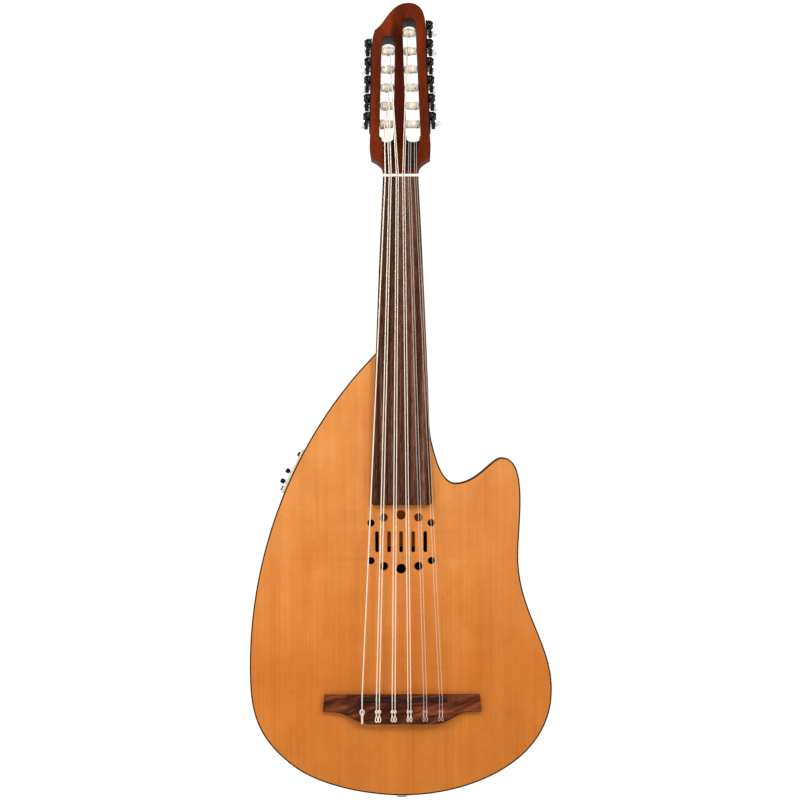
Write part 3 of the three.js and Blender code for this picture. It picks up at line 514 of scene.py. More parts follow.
# ---- Materials -------------------------------------------------------------------------
def cedar_top():
    """Straight-grained cedar under satin lacquer, made paler and yellower towards the neck by a painted
    sheen and light falloff.
    """
    wood = Shader("cedar_top", (0.7, 0.23, 0.04), 0.4, specular=0.12)
    fine = wood.noise((900, 20, 7), detail=3)
    streaks = wood.noise((210, 20, 2.4), detail=4)
    bands = wood.noise((30, 5, 1.3), detail=2)
    silk = wood.noise((60, 5, 130), detail=4, roughness=0.65, distortion=1.6)
    clouds = wood.noise((26, 5, 17), detail=3, distortion=0.5)
    base = wood.ramp(bands, [(0.25, (0.69, 0.26, 0.065)), (0.75, (0.8, 0.325, 0.092))])
    # Painted sheen and light falloff: the colour turns paler and yellower towards the neck and deeper
    # orange towards the tail.
    fade = wood.ramp(
        wood.along("Z", -0.69, -0.3),
        [
            (0.0, (0.85, 0.7, 0.39)),
            (0.35, (0.86, 0.72, 0.44)),
            (0.6, (0.95, 0.88, 0.73)),
            (1.0, (1, 1, 1)),
        ],
    )
    lines = wood.ramp(streaks, [(0.3, (0.86, 0.75, 0.62)), (0.62, (1, 1, 1))])
    hair = wood.ramp(fine, [(0.32, (0.82, 0.7, 0.56)), (0.55, (1, 1, 1))])
    shimmer = wood.ramp(silk, [(0.32, (0.9, 0.83, 0.72)), (0.66, (1, 1, 1))])
    patches = wood.ramp(clouds, [(0.3, (0.91, 0.83, 0.73)), (0.65, (1, 1, 1))])
    color = wood.mix("MULTIPLY", 0.4, base, lines)
    color = wood.mix("MULTIPLY", 0.4, color, hair)
    color = wood.mix("MULTIPLY", 0.5, color, shimmer)
    color = wood.mix("MULTIPLY", 1.0, color, patches)
    color = wood.mix("MULTIPLY", 1.0, color, fade)
    wood.color(color)
    wood.rough(streaks, 0.34, 0.46)
    wood.bump(fine, 0.00004)
    return wood.material


def mahogany(name, dark, light, specular=0.2, scale=(500, 500, 9), painted_bar_shade=False):
    """Red-brown mahogany: short open pores, ribbon bands, satin lacquer; optionally painted shade
    darkening a middle bar.
    """
    wood = Shader(name, light, 0.35, specular=specular)
    pores = wood.noise(scale, detail=5, roughness=0.7)
    ribbon = wood.noise((60, 60, 2.5), detail=3, distortion=0.4)
    patches = wood.noise((40, 40, 7), detail=3)
    base = wood.ramp(ribbon, [(0.3, dark), (0.72, light)])
    pore_color = wood.ramp(pores, [(0.34, (0.45, 0.36, 0.32)), (0.5, (1, 1, 1))])
    tone = wood.ramp(patches, [(0.32, (0.72, 0.62, 0.58)), (0.65, (1, 1, 1))])
    color = wood.mix("MULTIPLY", 0.75, base, pore_color)
    color = wood.mix("MULTIPLY", 0.9, color, tone)
    if painted_bar_shade:
        # Painted shade: a darker bar down the middle of the head between the slots, where the slot walls
        # and strings would shade it.
        black, white = (0, 0, 0), (1, 1, 1)
        sides = [(0.0, black), (0.2, white), (0.76, white), (0.92, black)]
        ends = [(0.0, black), (0.1, white), (0.85, white), (1.0, black)]
        across = wood.ramp(wood.along("X", -0.01, 0.01), sides)
        inside = wood.mix("MULTIPLY", 1.0, across, wood.ramp(wood.along("Z", 0.01, 0.17), ends))
        color = wood.mix("MULTIPLY", inside, color, (0.42, 0.3, 0.45))
    wood.color(color)
    wood.rough(pores, 0.42, 0.32)
    wood.bump(pores, 0.00002)
    return wood.material


def fingerboard_wood():
    """Dark brown board with light and black streaks along it and fine open pores."""
    wood = Shader("board_wood", (0.1, 0.05, 0.04), 0.5, specular=0.05)
    streaks = wood.noise((420, 50, 2.4), detail=5, roughness=0.65, distortion=0.3)
    bands = wood.noise((130, 30, 1.3), detail=3)
    pores = wood.noise((900, 400, 100), detail=3)
    base = wood.ramp(
        streaks,
        [
            (0.3, (0.018, 0.005, 0.002)),
            (0.44, (0.08, 0.028, 0.014)),
            (0.58, (0.17, 0.072, 0.043)),
            (0.72, (0.33, 0.17, 0.115)),
        ],
    )
    tone = wood.ramp(bands, [(0.34, (0.4, 0.3, 0.26)), (0.62, (1, 1, 1))])
    dots = wood.ramp(pores, [(0.36, (0.4, 0.36, 0.34)), (0.6, (1.15, 1.15, 1.15))])
    color = wood.mix("MULTIPLY", 0.8, base, tone)
    color = wood.mix("MULTIPLY", 0.9, color, dots)
    wood.color(color)
    wood.rough(streaks, 0.44, 0.56)
    wood.bump(pores, 0.00005)
    return wood.material


def bridge_wood():
    """Rosewood with slanting dark and light figure and fine lines along the bridge."""
    wood = Shader("bridge_wood", (0.13, 0.05, 0.03), 0.45, specular=0.1)
    figure = wood.noise((16, 60, 80), detail=4, roughness=0.5, distortion=1.4, turn=-0.3)
    streaks = wood.noise((24, 200, 420), detail=4, roughness=0.6, distortion=1.0, turn=-0.12)
    pores = wood.noise((90, 900, 1500), detail=2)
    base = wood.ramp(
        figure,
        [(0.36, (0.05, 0.011, 0.004)), (0.5, (0.12, 0.026, 0.008)), (0.66, (0.27, 0.07, 0.022))],
    )
    lines = wood.ramp(streaks, [(0.36, (0.4, 0.3, 0.26)), (0.56, (1, 1, 1))])
    dots = wood.ramp(pores, [(0.34, (0.55, 0.46, 0.42)), (0.46, (1, 1, 1))])
    color = wood.mix("MULTIPLY", 0.8, base, lines)
    color = wood.mix("MULTIPLY", 0.5, color, dots)
    wood.color(color)
    wood.rough(streaks, 0.4, 0.52)
    wood.bump(pores, 0.00005)
    return wood.material


def plain_wood(name, color, scale, specular=0.15):
    wood = Shader(name, color, 0.7, specular=specular)
    grain = wood.noise(scale, detail=4)
    shadow = tuple(0.72 * c for c in color)
    wood.color(wood.ramp(grain, [(0.35, shadow), (0.62, color)]))
    wood.bump(grain, 0.00005)
    return wood.material


def plastic(name, color, roughness, mottling=0.12, scale=300.0, specular=0.5):
    """Moulded plastic with slight cloudiness and a fine skin."""
    shell = Shader(name, color, roughness, specular=specular)
    cloud = shell.noise((scale * 0.3,) * 3, detail=2)
    skin = shell.noise((scale * 12,) * 3, detail=2)
    darker = tuple((1 - mottling) * c for c in color)
    shell.color(shell.ramp(cloud, [(0.35, darker), (0.65, color)]))
    shell.rough(cloud, roughness * 0.85, roughness * 1.15)
    shell.bump(skin, 0.00001, 0.6)
    return shell.material


def pearloid():
    """White pearl button: soft swirls under a glossy skin."""
    pearl = Shader("pearl_button", (0.93, 0.92, 0.9), 0.18)
    swirl = pearl.noise((170, 170, 170), detail=4, distortion=2.2)
    stops = [(0.3, (0.78, 0.75, 0.7)), (0.5, (0.94, 0.93, 0.9)), (0.7, (0.99, 0.99, 0.98))]
    pearl.color(pearl.ramp(swirl, stops))
    pearl.rough(swirl, 0.14, 0.24)
    pearl.coat(0.5, 0.06)
    pearl.surface.inputs["Subsurface Weight"].default_value = 0.08
    pearl.surface.inputs["Subsurface Radius"].default_value = (0.002, 0.002, 0.0016)
    return pearl.material


def metal(name, color, roughness, brushed=(900, 900, 900)):
    """Plated metal with fine polishing marks and slight stains."""
    plate = Shader(name, color, roughness, 1.0)
    marks = plate.noise(brushed, detail=3)
    stains = plate.noise((150, 150, 150), detail=3)
    darker = tuple(0.78 * c for c in color)
    plate.color(plate.ramp(stains, [(0.35, darker), (0.6, color)]))
    plate.rough(marks, roughness * 0.8, roughness * 1.25)
    plate.bump(marks, 0.000008, 0.7)
    return plate.material


def black_plating():
    """Black chrome tuner plates, worn lighter along a few marks."""
    plate = Shader("black_plating", (0.01, 0.008, 0.008), 0.28, 0.0, 0.08)
    marks = plate.noise((700, 700, 700), detail=4, roughness=0.65)
    plate.color(plate.ramp(marks, [(0.55, (0.003, 0.002, 0.002)), (0.85, (0.03, 0.02, 0.017))]))
    plate.rough(marks, 0.22, 0.4)
    plate.bump(marks, 0.00001, 0.6)
    return plate.material


def wound_string():
    """Silver-plated wire wound round a core: fine rings across the string, with painted shade darkening
    the grooves between the turns.
    """
    wire = Shader("wound_string", (1, 0.93, 0.82), 0.3, 0.1, 1.0)
    winding = wire.wave((0, 0, 2600), "Z", 0.0)
    # Painted shade: the colour is darker where the winding wave is low, in the grooves between the
    # turns.
    tone = [(0.0, (0.95, 0.76, 0.58)), (0.35, (1.0, 0.84, 0.67)), (1.0, (1.0, 0.9, 0.76))]
    wire.color(wire.ramp(winding, tone))
    wire.rough(winding, 0.4, 0.25)
    wire.bump(winding, 0.00008)
    return wire.material


def nylon():
    """Clear nylon that shows the wood behind it."""
    cord = Shader("clear_nylon", (0.9, 0.74, 0.66), 0.2)
    cloud = cord.noise((90, 90, 30), detail=2)
    cord.color(cord.ramp(cloud, [(0.3, (0.9, 0.72, 0.6)), (0.7, (0.97, 0.86, 0.78))]))
    cord.surface.inputs["Alpha"].default_value = 0.23
    return cord.material


MATERIALS = {
    "cedar": cedar_top(),
    "body_mahogany": mahogany("body_mahogany", (0.085, 0.014, 0.005), (0.2, 0.036, 0.01)),
    # The head's mahogany carries painted shade down the middle bar between the slots.
    "head_mahogany": mahogany(
        "head_mahogany", (0.085, 0.012, 0.003), (0.19, 0.026, 0.0035), 0.03, painted_bar_shade=True
    ),
    # Dark wood used as painted shade inside the head's slots and string ramps.
    "slot_painted_shade": mahogany("slot_painted_shade", (0.014, 0.006, 0.004), (0.05, 0.022, 0.015), 0.1),
    "board": fingerboard_wood(),
    "bridge": bridge_wood(),
    "spruce": plain_wood("brace_spruce", (0.62, 0.43, 0.24), (500, 500, 12)),
    "binding": plain_wood("binding_wood", (0.05, 0.018, 0.003), (400, 400, 400), 0.02),
    "chamber": plain_wood("chamber_wood", (0.055, 0.035, 0.02), (300, 300, 12), 0.03),
    "block": plain_wood("block_wood", (0.75, 0.26, 0.03), (300, 300, 12), 0.03),
    "bone": plastic("bone_nut", (1.0, 0.97, 0.9), 0.28, 0.03),
    "graphite": plastic("graphite_saddle", (0.01, 0.008, 0.007), 0.45, 0.2, 300, 0.2),
    "sleeve": plastic("roller_sleeve", (1.0, 0.93, 0.76), 0.3, 0.1, 700, 0.6),
    "pearl": pearloid(),
    "cream": plastic("cream_bezel", (1.0, 0.97, 0.76), 0.4, 0.02, 120),
    "black": plastic("black_knob", (0.006, 0.006, 0.006), 0.4, 0.3, 300, 0.12),
    "nickel": metal("nickel_plate", (0.8, 0.78, 0.73), 0.22),
    "steel": metal("plain_steel", (0.55, 0.55, 0.56), 0.3),
    "gear": metal("gear_metal", (0.06, 0.045, 0.035), 0.3),
    "plating": black_plating(),
    "wound": wound_string(),
    "nylon": nylon(),
    "battery": metal("battery_case", (0.2, 0.2, 0.21), 0.35),
}


def finish_piece(piece, look, body=MAIN_BODY):
    """Gives a piece its material and the body that it moves with."""
    piece.data.materials.clear()
    piece.data.materials.append(MATERIALS[look])
    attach(piece, body)
    return piece


def dress_node(node, look):
    slots = frame["nodes"][node].data.materials
    slots.clear()
    slots.append(MATERIALS[look])


# ---- Camera, light and floor -----------------------------------------------------------
def make_camera():
    data = bpy.data.cameras.new("camera")
    data.sensor_width = 36
    data.lens = data.sensor_width * CAMERA_DISTANCE / FRAME_WIDTH
    data.clip_end = 60
    camera = add_object("camera", data)
    camera.location = CAMERA_TARGET + Vector((0, -CAMERA_DISTANCE, 0))
    camera.rotation_euler = (math.pi / 2, CAMERA_ROLL, 0)
    bpy.context.scene.camera = camera


def area_light(name, place, size, power, color=(1, 1, 1)):
    data = bpy.data.lights.new(name, "AREA")
    data.shape = "DISK"
    data.size = size
    data.energy = power
    data.color = color
    light = add_object(name, data)
    light.location = place
    aim = CAMERA_TARGET - Vector(place)
    light.rotation_euler = aim.to_track_quat("-Z", "Y").to_euler()


def make_world():
    """White to the camera, gentler as a light."""
    world = bpy.data.worlds.new("studio")
    bpy.context.scene.world = world
    world.use_nodes = True
    tree = world.node_tree
    soft = tree.nodes["Background"]
    soft.inputs["Color"].default_value = (1, 1, 1, 1)
    soft.inputs["Strength"].default_value = 0.4
    seen = tree.nodes.new("ShaderNodeBackground")
    seen.inputs["Color"].default_value = (1, 1, 1, 1)
    seen.inputs["Strength"].default_value = 1.05
    path = tree.nodes.new("ShaderNodeLightPath")
    mix = tree.nodes.new("ShaderNodeMixShader")
    tree.links.new(path.outputs["Is Camera Ray"], mix.inputs[0])
    tree.links.new(soft.outputs[0], mix.inputs[1])
    tree.links.new(seen.outputs[0], mix.inputs[2])
    tree.links.new(mix.outputs[0], tree.nodes["World Output"].inputs["Surface"])


def make_floor():
    """A pale round floor well below the hanging instrument, melting into the white around it."""
    radius = 4.0
    height = -1.35
    ring = [
        Vector((radius * math.cos(a), radius * math.sin(a), height))
        for a in [2 * math.pi * i / 96 for i in range(96)]
    ]
    floor = mesh_object("floor", ring, [tuple(range(96))])
    material = bpy.data.materials.new("floor")
    material.use_nodes = True
    tree = material.node_tree
    surface = tree.nodes["Principled BSDF"]
    surface.inputs["Base Color"].default_value = (0.9, 0.9, 0.9, 1)
    surface.inputs["Roughness"].default_value = 0.8
    place = tree.nodes.new("ShaderNodeTexCoord")
    ball = tree.nodes.new("ShaderNodeTexGradient")
    ball.gradient_type = "SPHERICAL"
    mapping = tree.nodes.new("ShaderNodeMapping")
    mapping.inputs["Location"].default_value = (0, 0, -height / 3)
    mapping.inputs["Scale"].default_value = (1 / 3, 1 / 3, 1 / 3)
    glow = tree.nodes.new("ShaderNodeEmission")
    mix = tree.nodes.new("ShaderNodeMixShader")
    tree.links.new(place.outputs["Object"], mapping.inputs["Vector"])
    tree.links.new(mapping.outputs["Vector"], ball.inputs["Vector"])
    tree.links.new(ball.outputs["Fac"], mix.inputs[0])
    tree.links.new(glow.outputs[0], mix.inputs[1])
    tree.links.new(surface.outputs[0], mix.inputs[2])
    tree.links.new(mix.outputs[0], tree.nodes["Material Output"].inputs["Surface"])
    floor.data.materials.append(material)


# ---- Body ------------------------------------------------------------------------------
OUTLINE = smooth_loop(front_loops("binding")[0], 3 * MM)


def housing_frame():
    """The preamp's frame: X out of the body's side, Y to the back, Z down along the side."""
    out = Vector(next(j for j in frame["joints"] if j["name"] == "volume_turn")["axis"])
    matrix = Matrix((out, Vector((0, 1, 0)), out.cross(Vector((0, 1, 0))))).transposed().to_4x4()
    low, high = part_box("preamp_bezel")
    matrix.translation = (low + high) / 2
    return matrix


def make_body():
    steps = 7
    rings = [at_depth(OUTLINE, BODY_FRONT), at_depth(OUTLINE, BODY_FRONT + 3 * MM)]
    for i in range(steps + 1):
        angle = math.pi / 2 * i / steps
        depth = BODY_DEPTH - BACK_ROUND + BACK_ROUND * math.sin(angle)
        rings.append(at_depth(inset(OUTLINE, BACK_ROUND * (1 - math.cos(angle))), depth))
    body = rings_object("carved_body", rings)
    tidy_mesh(body)
    hollow = rings_object(
        "hollow",
        [at_depth(inset(OUTLINE, WALL), 0), at_depth(inset(OUTLINE, WALL), BODY_DEPTH - BACK_THICKNESS)],
    )
    block_low = (-30 * MM, -10 * MM, -419.4 * MM)
    block = prism("block", block_low, (34 * MM, 80 * MM, -190 * MM))
    cut(hollow, [block])
    recess = prism(
        "recess", (-36 * MM, 0, -425.4 * MM), (40 * MM, BLOCK_RECESS, -378.5 * MM)
    )
    left_well = prism("left_well", (-36 * MM, 0, -425 * MM), (-21 * MM, 40 * MM, -379 * MM))
    right_well = prism("right_well", (21 * MM, 0, -425 * MM), (39 * MM, 40 * MM, -393 * MM))
    cutters = [hollow, recess, left_well, right_well]
    inner_walls = [tree_of(cutter) for cutter in cutters]
    place = housing_frame()
    bezel_low, bezel_high = (-3 * MM, -21.8 * MM, -26.8 * MM), (20 * MM, 21.8 * MM, 26.8 * MM)
    hole_low, hole_high = (-32 * MM, -19.6 * MM, -24.5 * MM), (6 * MM, 20 * MM, 25 * MM)
    seat_depth = seat_plane() - 0.3 * MM
    seat = prism("seat", (seat_depth, bezel_low[1], bezel_low[2]), bezel_high)
    hole = prism("hole", hole_low, hole_high)
    for cutter in (seat, hole):
        cutter.data.transform(place)
        cutters.append(cutter)
    jack_low, jack_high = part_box("output_jack")
    middle = (jack_low + jack_high) / 2
    bore = lathe(
        "bore",
        [(5.5 * MM, 0), (5.5 * MM, 40 * MM)],
        frame_along(Vector((middle.x, middle.y, jack_low.z - 5 * MM)), (0, 0, 1), (1, 0, 0)),
    )
    cutters.append(bore)
    for look in ("body_mahogany", "chamber", "block"):
        body.data.materials.append(MATERIALS[look])
    cut(body, cutters)
    tidy_mesh(body)
    bevel(body, 0.3 * MM, 1, 60)
    tidy_mesh(body, merge_flats=False)
    shade(body)
    for face in body.data.polygons:
        corners = [body.data.vertices[i].co for i in face.vertices]
        if all(lies_on(corner, inner_walls) for corner in corners):
            face.material_index = 1
        x, y, z = face.center
        if abs(y - BLOCK_RECESS) < 0.2 * MM and abs(x) < 21 * MM and z > -420 * MM:
            face.material_index = 2
    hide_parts("body_rim_left", "body_rim_right", "neck_block", "body_back")
    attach(body, MAIN_BODY)


def lies_on(spot, walls):
    return any(wall.find_nearest(spot, 0.6 * MM)[0] is not None for wall in walls)


def seat_plane():
    """Where the bezel's inner face lies in the preamp's frame; its outer face is as far out."""
    place = housing_frame().inverted()
    return min((place @ v.co).x for v in frame["nodes"]["preamp_bezel"].data.vertices)


def make_top():
    loops = front_loops("soundboard")
    outer = inset(OUTLINE, BINDING_WIDTH + BINDING_GAP * 0.4)
    holes = []
    for loop in loops[1:]:
        tall = max(p.z for p in loop) - min(p.z for p in loop)
        wide = max(p.x for p in loop) - min(p.x for p in loop)
        holes.append(stadium(loop) if tall > 2 * wide else smooth_loop(loop, 0.5 * MM, 40))
    top = plate_object("cedar_soundboard", outer, holes, 0, TOP_BACK, 0.15 * MM)
    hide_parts("soundboard")
    finish_piece(top, "cedar")
    inner = inset(OUTLINE, BINDING_WIDTH)
    edge = 0.5 * MM
    rings = [
        at_depth(inner, TOP_BACK),
        at_depth(inner, 0),
        at_depth(inset(OUTLINE, edge), 0),
        at_depth(inset(OUTLINE, edge * 0.3), edge * 0.3),
        at_depth(OUTLINE, edge),
        at_depth(OUTLINE, TOP_BACK),
        at_depth(inner, TOP_BACK),
    ]
    strip = rings_object("edge_binding", rings, caps=False)
    bm = bmesh.new()
    bm.from_mesh(strip.data)
    bmesh.ops.remove_doubles(bm, verts=bm.verts, dist=1e-7)
    bm.to_mesh(strip.data)
    bm.free()
    shade(strip)
    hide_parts("binding")
    finish_piece(strip, "binding")


# ---- Neck and board --------------------------------------------------------------------
def make_neck():
    neck = refined("shaped_neck", "neck", 0.4 * MM, 2, 40)
    shade(neck, 42)
    finish_piece(neck, "head_mahogany")
    head = refined("slotted_headstock", "headstock", 0.5 * MM, 3, 40)
    finish_piece(head, "head_mahogany")
    paint_slot_shade(head)
    board = refined("bare_fingerboard", "fingerboard", 0.6 * MM, 2, 40)
    finish_piece(board, "board")
    nut = refined("bone_nut", "nut", 0.4 * MM)
    finish_piece(nut, "bone")


def paint_slot_shade(head):
    """The slots and the string ramps are darkened inside with painted shade."""
    head.data.materials.append(MATERIALS["slot_painted_shade"])
    pivot = Vector((0, 0, HEAD_FOOT_Z))
    for face in head.data.polygons:
        offset = face.center - pivot
        depth, height = offset.dot(HEAD_BACK), offset.dot(HEAD_UP)
        inside = 0.9 * MM < depth < 19.1 * MM
        reach = 17.2 * MM + 0.12 * height if height < 40 * MM else 24 * MM
        top = 160 * MM if offset.x < 0 else 180 * MM
        if inside and abs(offset.x) < reach and 2 * MM < height < top:
            face.material_index = 1


def bridge_section(upper, lower, front, back, edge):
    """One slice of the bridge from its upper to its lower side, with both front edges rounded."""
    steps = 5
    depth_at = {"upper": [], "lower": []}
    for k in range(steps + 1):
        angle = math.pi / 2 * k / steps
        depth_at["upper"].append((edge - edge * math.cos(angle), front + edge - edge * math.sin(angle)))
    depth_at["lower"] = depth_at["upper"][::-1]
    length = (lower - upper).length
    ring = [Vector((upper.x, back, upper.z))]
    for name in ("upper", "lower"):
        for drawn, depth in depth_at[name]:
            t = drawn / length if name == "upper" else 1 - drawn / length
            spot = upper.lerp(lower, t)
            ring.append(Vector((spot.x, depth, spot.z)))
    ring.append(Vector((lower.x, back, lower.z)))
    return ring


def make_bridge():
    """A bridge carved in one sweep: tie block in the middle, wings that thin out to the ends."""
    tree = tree_of(frame["nodes"]["bridge"])
    low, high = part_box("bridge")
    upper_edge = [v.co.x for v in frame["nodes"]["bridge"].data.vertices if v.co.z > high.z - 1e-5]
    count = 120
    rings = []
    for i in range(count + 1):
        t = i / count
        upper = Vector((min(upper_edge) * (1 - t) + max(upper_edge) * t, 0, high.z))
        lower = Vector((low.x * (1 - t) + high.x * t, 0, low.z))
        probe = Vector((max(low.x + 0.4 * MM, min(high.x - 0.4 * MM, lower.x)), -0.002, low.z - 0.1))
        lower.z = tree.ray_cast(probe, Vector((0, 0, 1)))[0].z
        front = tree.ray_cast(Vector((upper.x * 0.99, -0.1, high.z - 2 * MM)), Vector((0, 1, 0)))[0].y
        rings.append(bridge_section(upper, lower, front, high.y, 1.1 * MM))
    bridge = rings_object("carved_bridge", rings)
    slot_low, slot_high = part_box("saddle")
    room = Vector((0.3, 0.3, 0.3)) * MM
    reach = Vector((0, 20 * MM, 0))
    cut(bridge, [prism("saddle_slot", slot_low - room - reach, slot_high + room)])
    shade(bridge, 38)
    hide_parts("bridge")
    finish_piece(bridge, "bridge")
    saddle = refined("black_saddle", "saddle", 0.5 * MM, 2)
    finish_piece(saddle, "graphite")


# ---- Strings ---------------------------------------------------------------------------
def string_route(node):
    """The middle of each ring of the CAD string, from the bridge up."""
    sides = 8
    seen = {tuple(round(c, 6) for c in v.co) for v in frame["nodes"][node].data.vertices}
    points = sorted((Vector(p) for p in seen), key=lambda p: p.z)
    groups = [points[i : i + sides] for i in range(0, len(points), sides)]
    return [sum(group, Vector()) / len(group) for group in groups]


def rounded_bends(points, reach):
    """Each bend of the route turned into a short curve."""
    result = [points[0]]
    for before, here, after in zip(points, points[1:], points[2:]):
        back = min(reach, (here - before).length * 0.45)
        ahead = min(reach, (after - here).length * 0.45)
        start = here + (before - here).normalized() * back
        end = here + (after - here).normalized() * ahead
        for k in range(5):
            t = k / 4
            result.append(start * (1 - t) ** 2 + here * 2 * t * (1 - t) + end * t**2)
    result.append(points[-1])
    return result


def arc(center, radius, start, end, steps, across, up):
    angles = [start + (end - start) * i / steps for i in range(steps + 1)]
    return [center + across * (radius * math.cos(a)) + up * (radius * math.sin(a)) for a in angles]


def bridge_knot(name, foot, radius, narrow):
    """The loop and the two tails of a string tied over the bridge block."""
    wide = radius * (2.3 if narrow else 3.2)
    up = Vector((0, 0, 1))
    out = Vector((0, -1, 0))
    lift = out * (1.6 * radius)
    center = foot + Vector((0, 0, -wide * 0.4)) + lift
    points = arc(center, wide, math.radians(-60), math.radians(240), 22, X_AXIS, up * 1.25)
    if narrow:
        second = center - up * (8.6 * MM) + out * (0.5 * radius)
        points += arc(second, wide, math.radians(55), math.radians(-235), 22, X_AXIS, up * 2.1)
        points.append(center - up * (1.6 * wide) + out * radius)
        return tube(name, rounded_bends(points, 1.2 * MM), radius, 8)
    low = foot.z - 12.5 * MM
    tails = []
    for side in (-1, 1):
        end = Vector((foot.x + side * radius * 0.9, foot.y - radius, low))
        tails.append(end)
    left_end, right_end = tails
    cross = Vector((foot.x, foot.y - radius * 2.2, foot.z - wide * 2.2))
    path = [right_end, cross + X_AXIS * radius, *points, cross - X_AXIS * radius, left_end]
    path.insert(0, right_end + Vector((0, 2.4 * radius, -1.2 * MM)))
    path.append(left_end + Vector((0, 2.4 * radius, -1.2 * MM)))
    return tube(name, rounded_bends(path, 1.2 * MM), radius * 0.92, 8)


def roller_turns(name, landing, center, radius, outward):
    """The string's turns on its roller, from where it lands, over the top."""
    reach = SLEEVE_RADIUS + radius * 1.02
    pitch = 2.1 * radius
    steps = int(24 * TURNS_ON_ROLLER)
    points = []
    for i in range(steps + 1):
        turn = i / 24
        angle = 2 * math.pi * turn
        spot = center - HEAD_BACK * (reach * math.cos(angle)) + HEAD_UP * (reach * math.sin(angle))
        points.append(spot + X_AXIS * (landing.x - center.x + outward * pitch * turn))
    sink = points[-1] + (center - points[-1]).project(HEAD_BACK) * 0.5
    points.append(Vector((points[-1].x + outward * radius * 2, sink.y, sink.z)))
    return tube(name, points, radius, 8)


def make_strings():
    nodes = sorted(
        (n for n in frame["nodes"] if n.startswith("string_")), key=lambda n: int(n.split("_")[1])
    )
    rollers_left = sorted(n for n in ROLLERS if "left" in n)
    rollers_right = sorted((n for n in ROLLERS if "right" in n), reverse=True)
    targets = rollers_left + rollers_right
    for i, (node, roller) in enumerate(zip(nodes, targets)):
        radius = STRING_RADII[i] * MM
        look = "wound" if i < WOUND_STRINGS else "nylon"
        route = string_route(node)
        center = Vector(ROLLERS[roller]["pos_m"])
        landing = route[-1]
        run = tube(f"string_run_{i + 1}", rounded_bends(route, 1.5 * MM), radius, 10)
        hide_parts(node)
        finish_piece(run, look)
        knot = bridge_knot(f"string_knot_{i + 1}", route[1], radius, i > 0)
        finish_piece(knot, look)
        outward = -1 if "left" in roller else 1
        turns = roller_turns(f"string_turns_{i + 1}", landing, center, radius, outward)
        finish_piece(turns, look, roller)


# ---- Tuning machines -------------------------------------------------------------------
def extent_at(node, center, axis, low, high):
    """From where to where, along the axis, a node's vertices lie between two radii."""
    found = []
    for v in frame["nodes"][node].data.vertices:
        offset = v.co - center
        along = offset.dot(axis)
        radius = (offset - axis * along).length
        if low < radius < high:
            found.append(along)
    return min(found), max(found)


def toothed_wheel(name, matrix, radius, teeth, low, high):
    """A worm wheel: rounded teeth with a shallow groove round the rim."""
    count = teeth * 6
    profile = [0.0, 0.35, 1.0, 1.0, 0.35, 0.0]
    depth = 0.9 * MM
    layers = [(low, 0.3), (low * 0.75 + high * 0.25, 0.1), (low * 0.25 + high * 0.75, 0.1), (high, 0.3)]
    rings = []
    for along, ease in layers:
        ring = []
        for i in range(count):
            angle = 2 * math.pi * i / count
            reach = radius - depth * (1 - profile[i % 6]) - ease * MM
            ring.append(matrix @ Vector((reach * math.cos(angle), reach * math.sin(angle), along)))
        rings.append(ring)
    return shade(rings_object(name, rings), 25)


def slotted_screw(name, matrix, radius, height):
    """A domed screw head with one slot."""
    head = lathe(
        name,
        [(0, -0.5 * MM), (radius, -0.5 * MM), (radius, 0.25 * height),
         (radius * 0.85, 0.7 * height), (radius * 0.5, 0.95 * height), (0, height)],
        matrix,
        24,
    )
    half = radius * 0.14
    groove = prism(
        name + "_slot", (-2 * radius, -half, 0.5 * height), (2 * radius, half, 3 * height)
    )
    groove.data.transform(matrix)
    return shade(cut(head, [groove]))


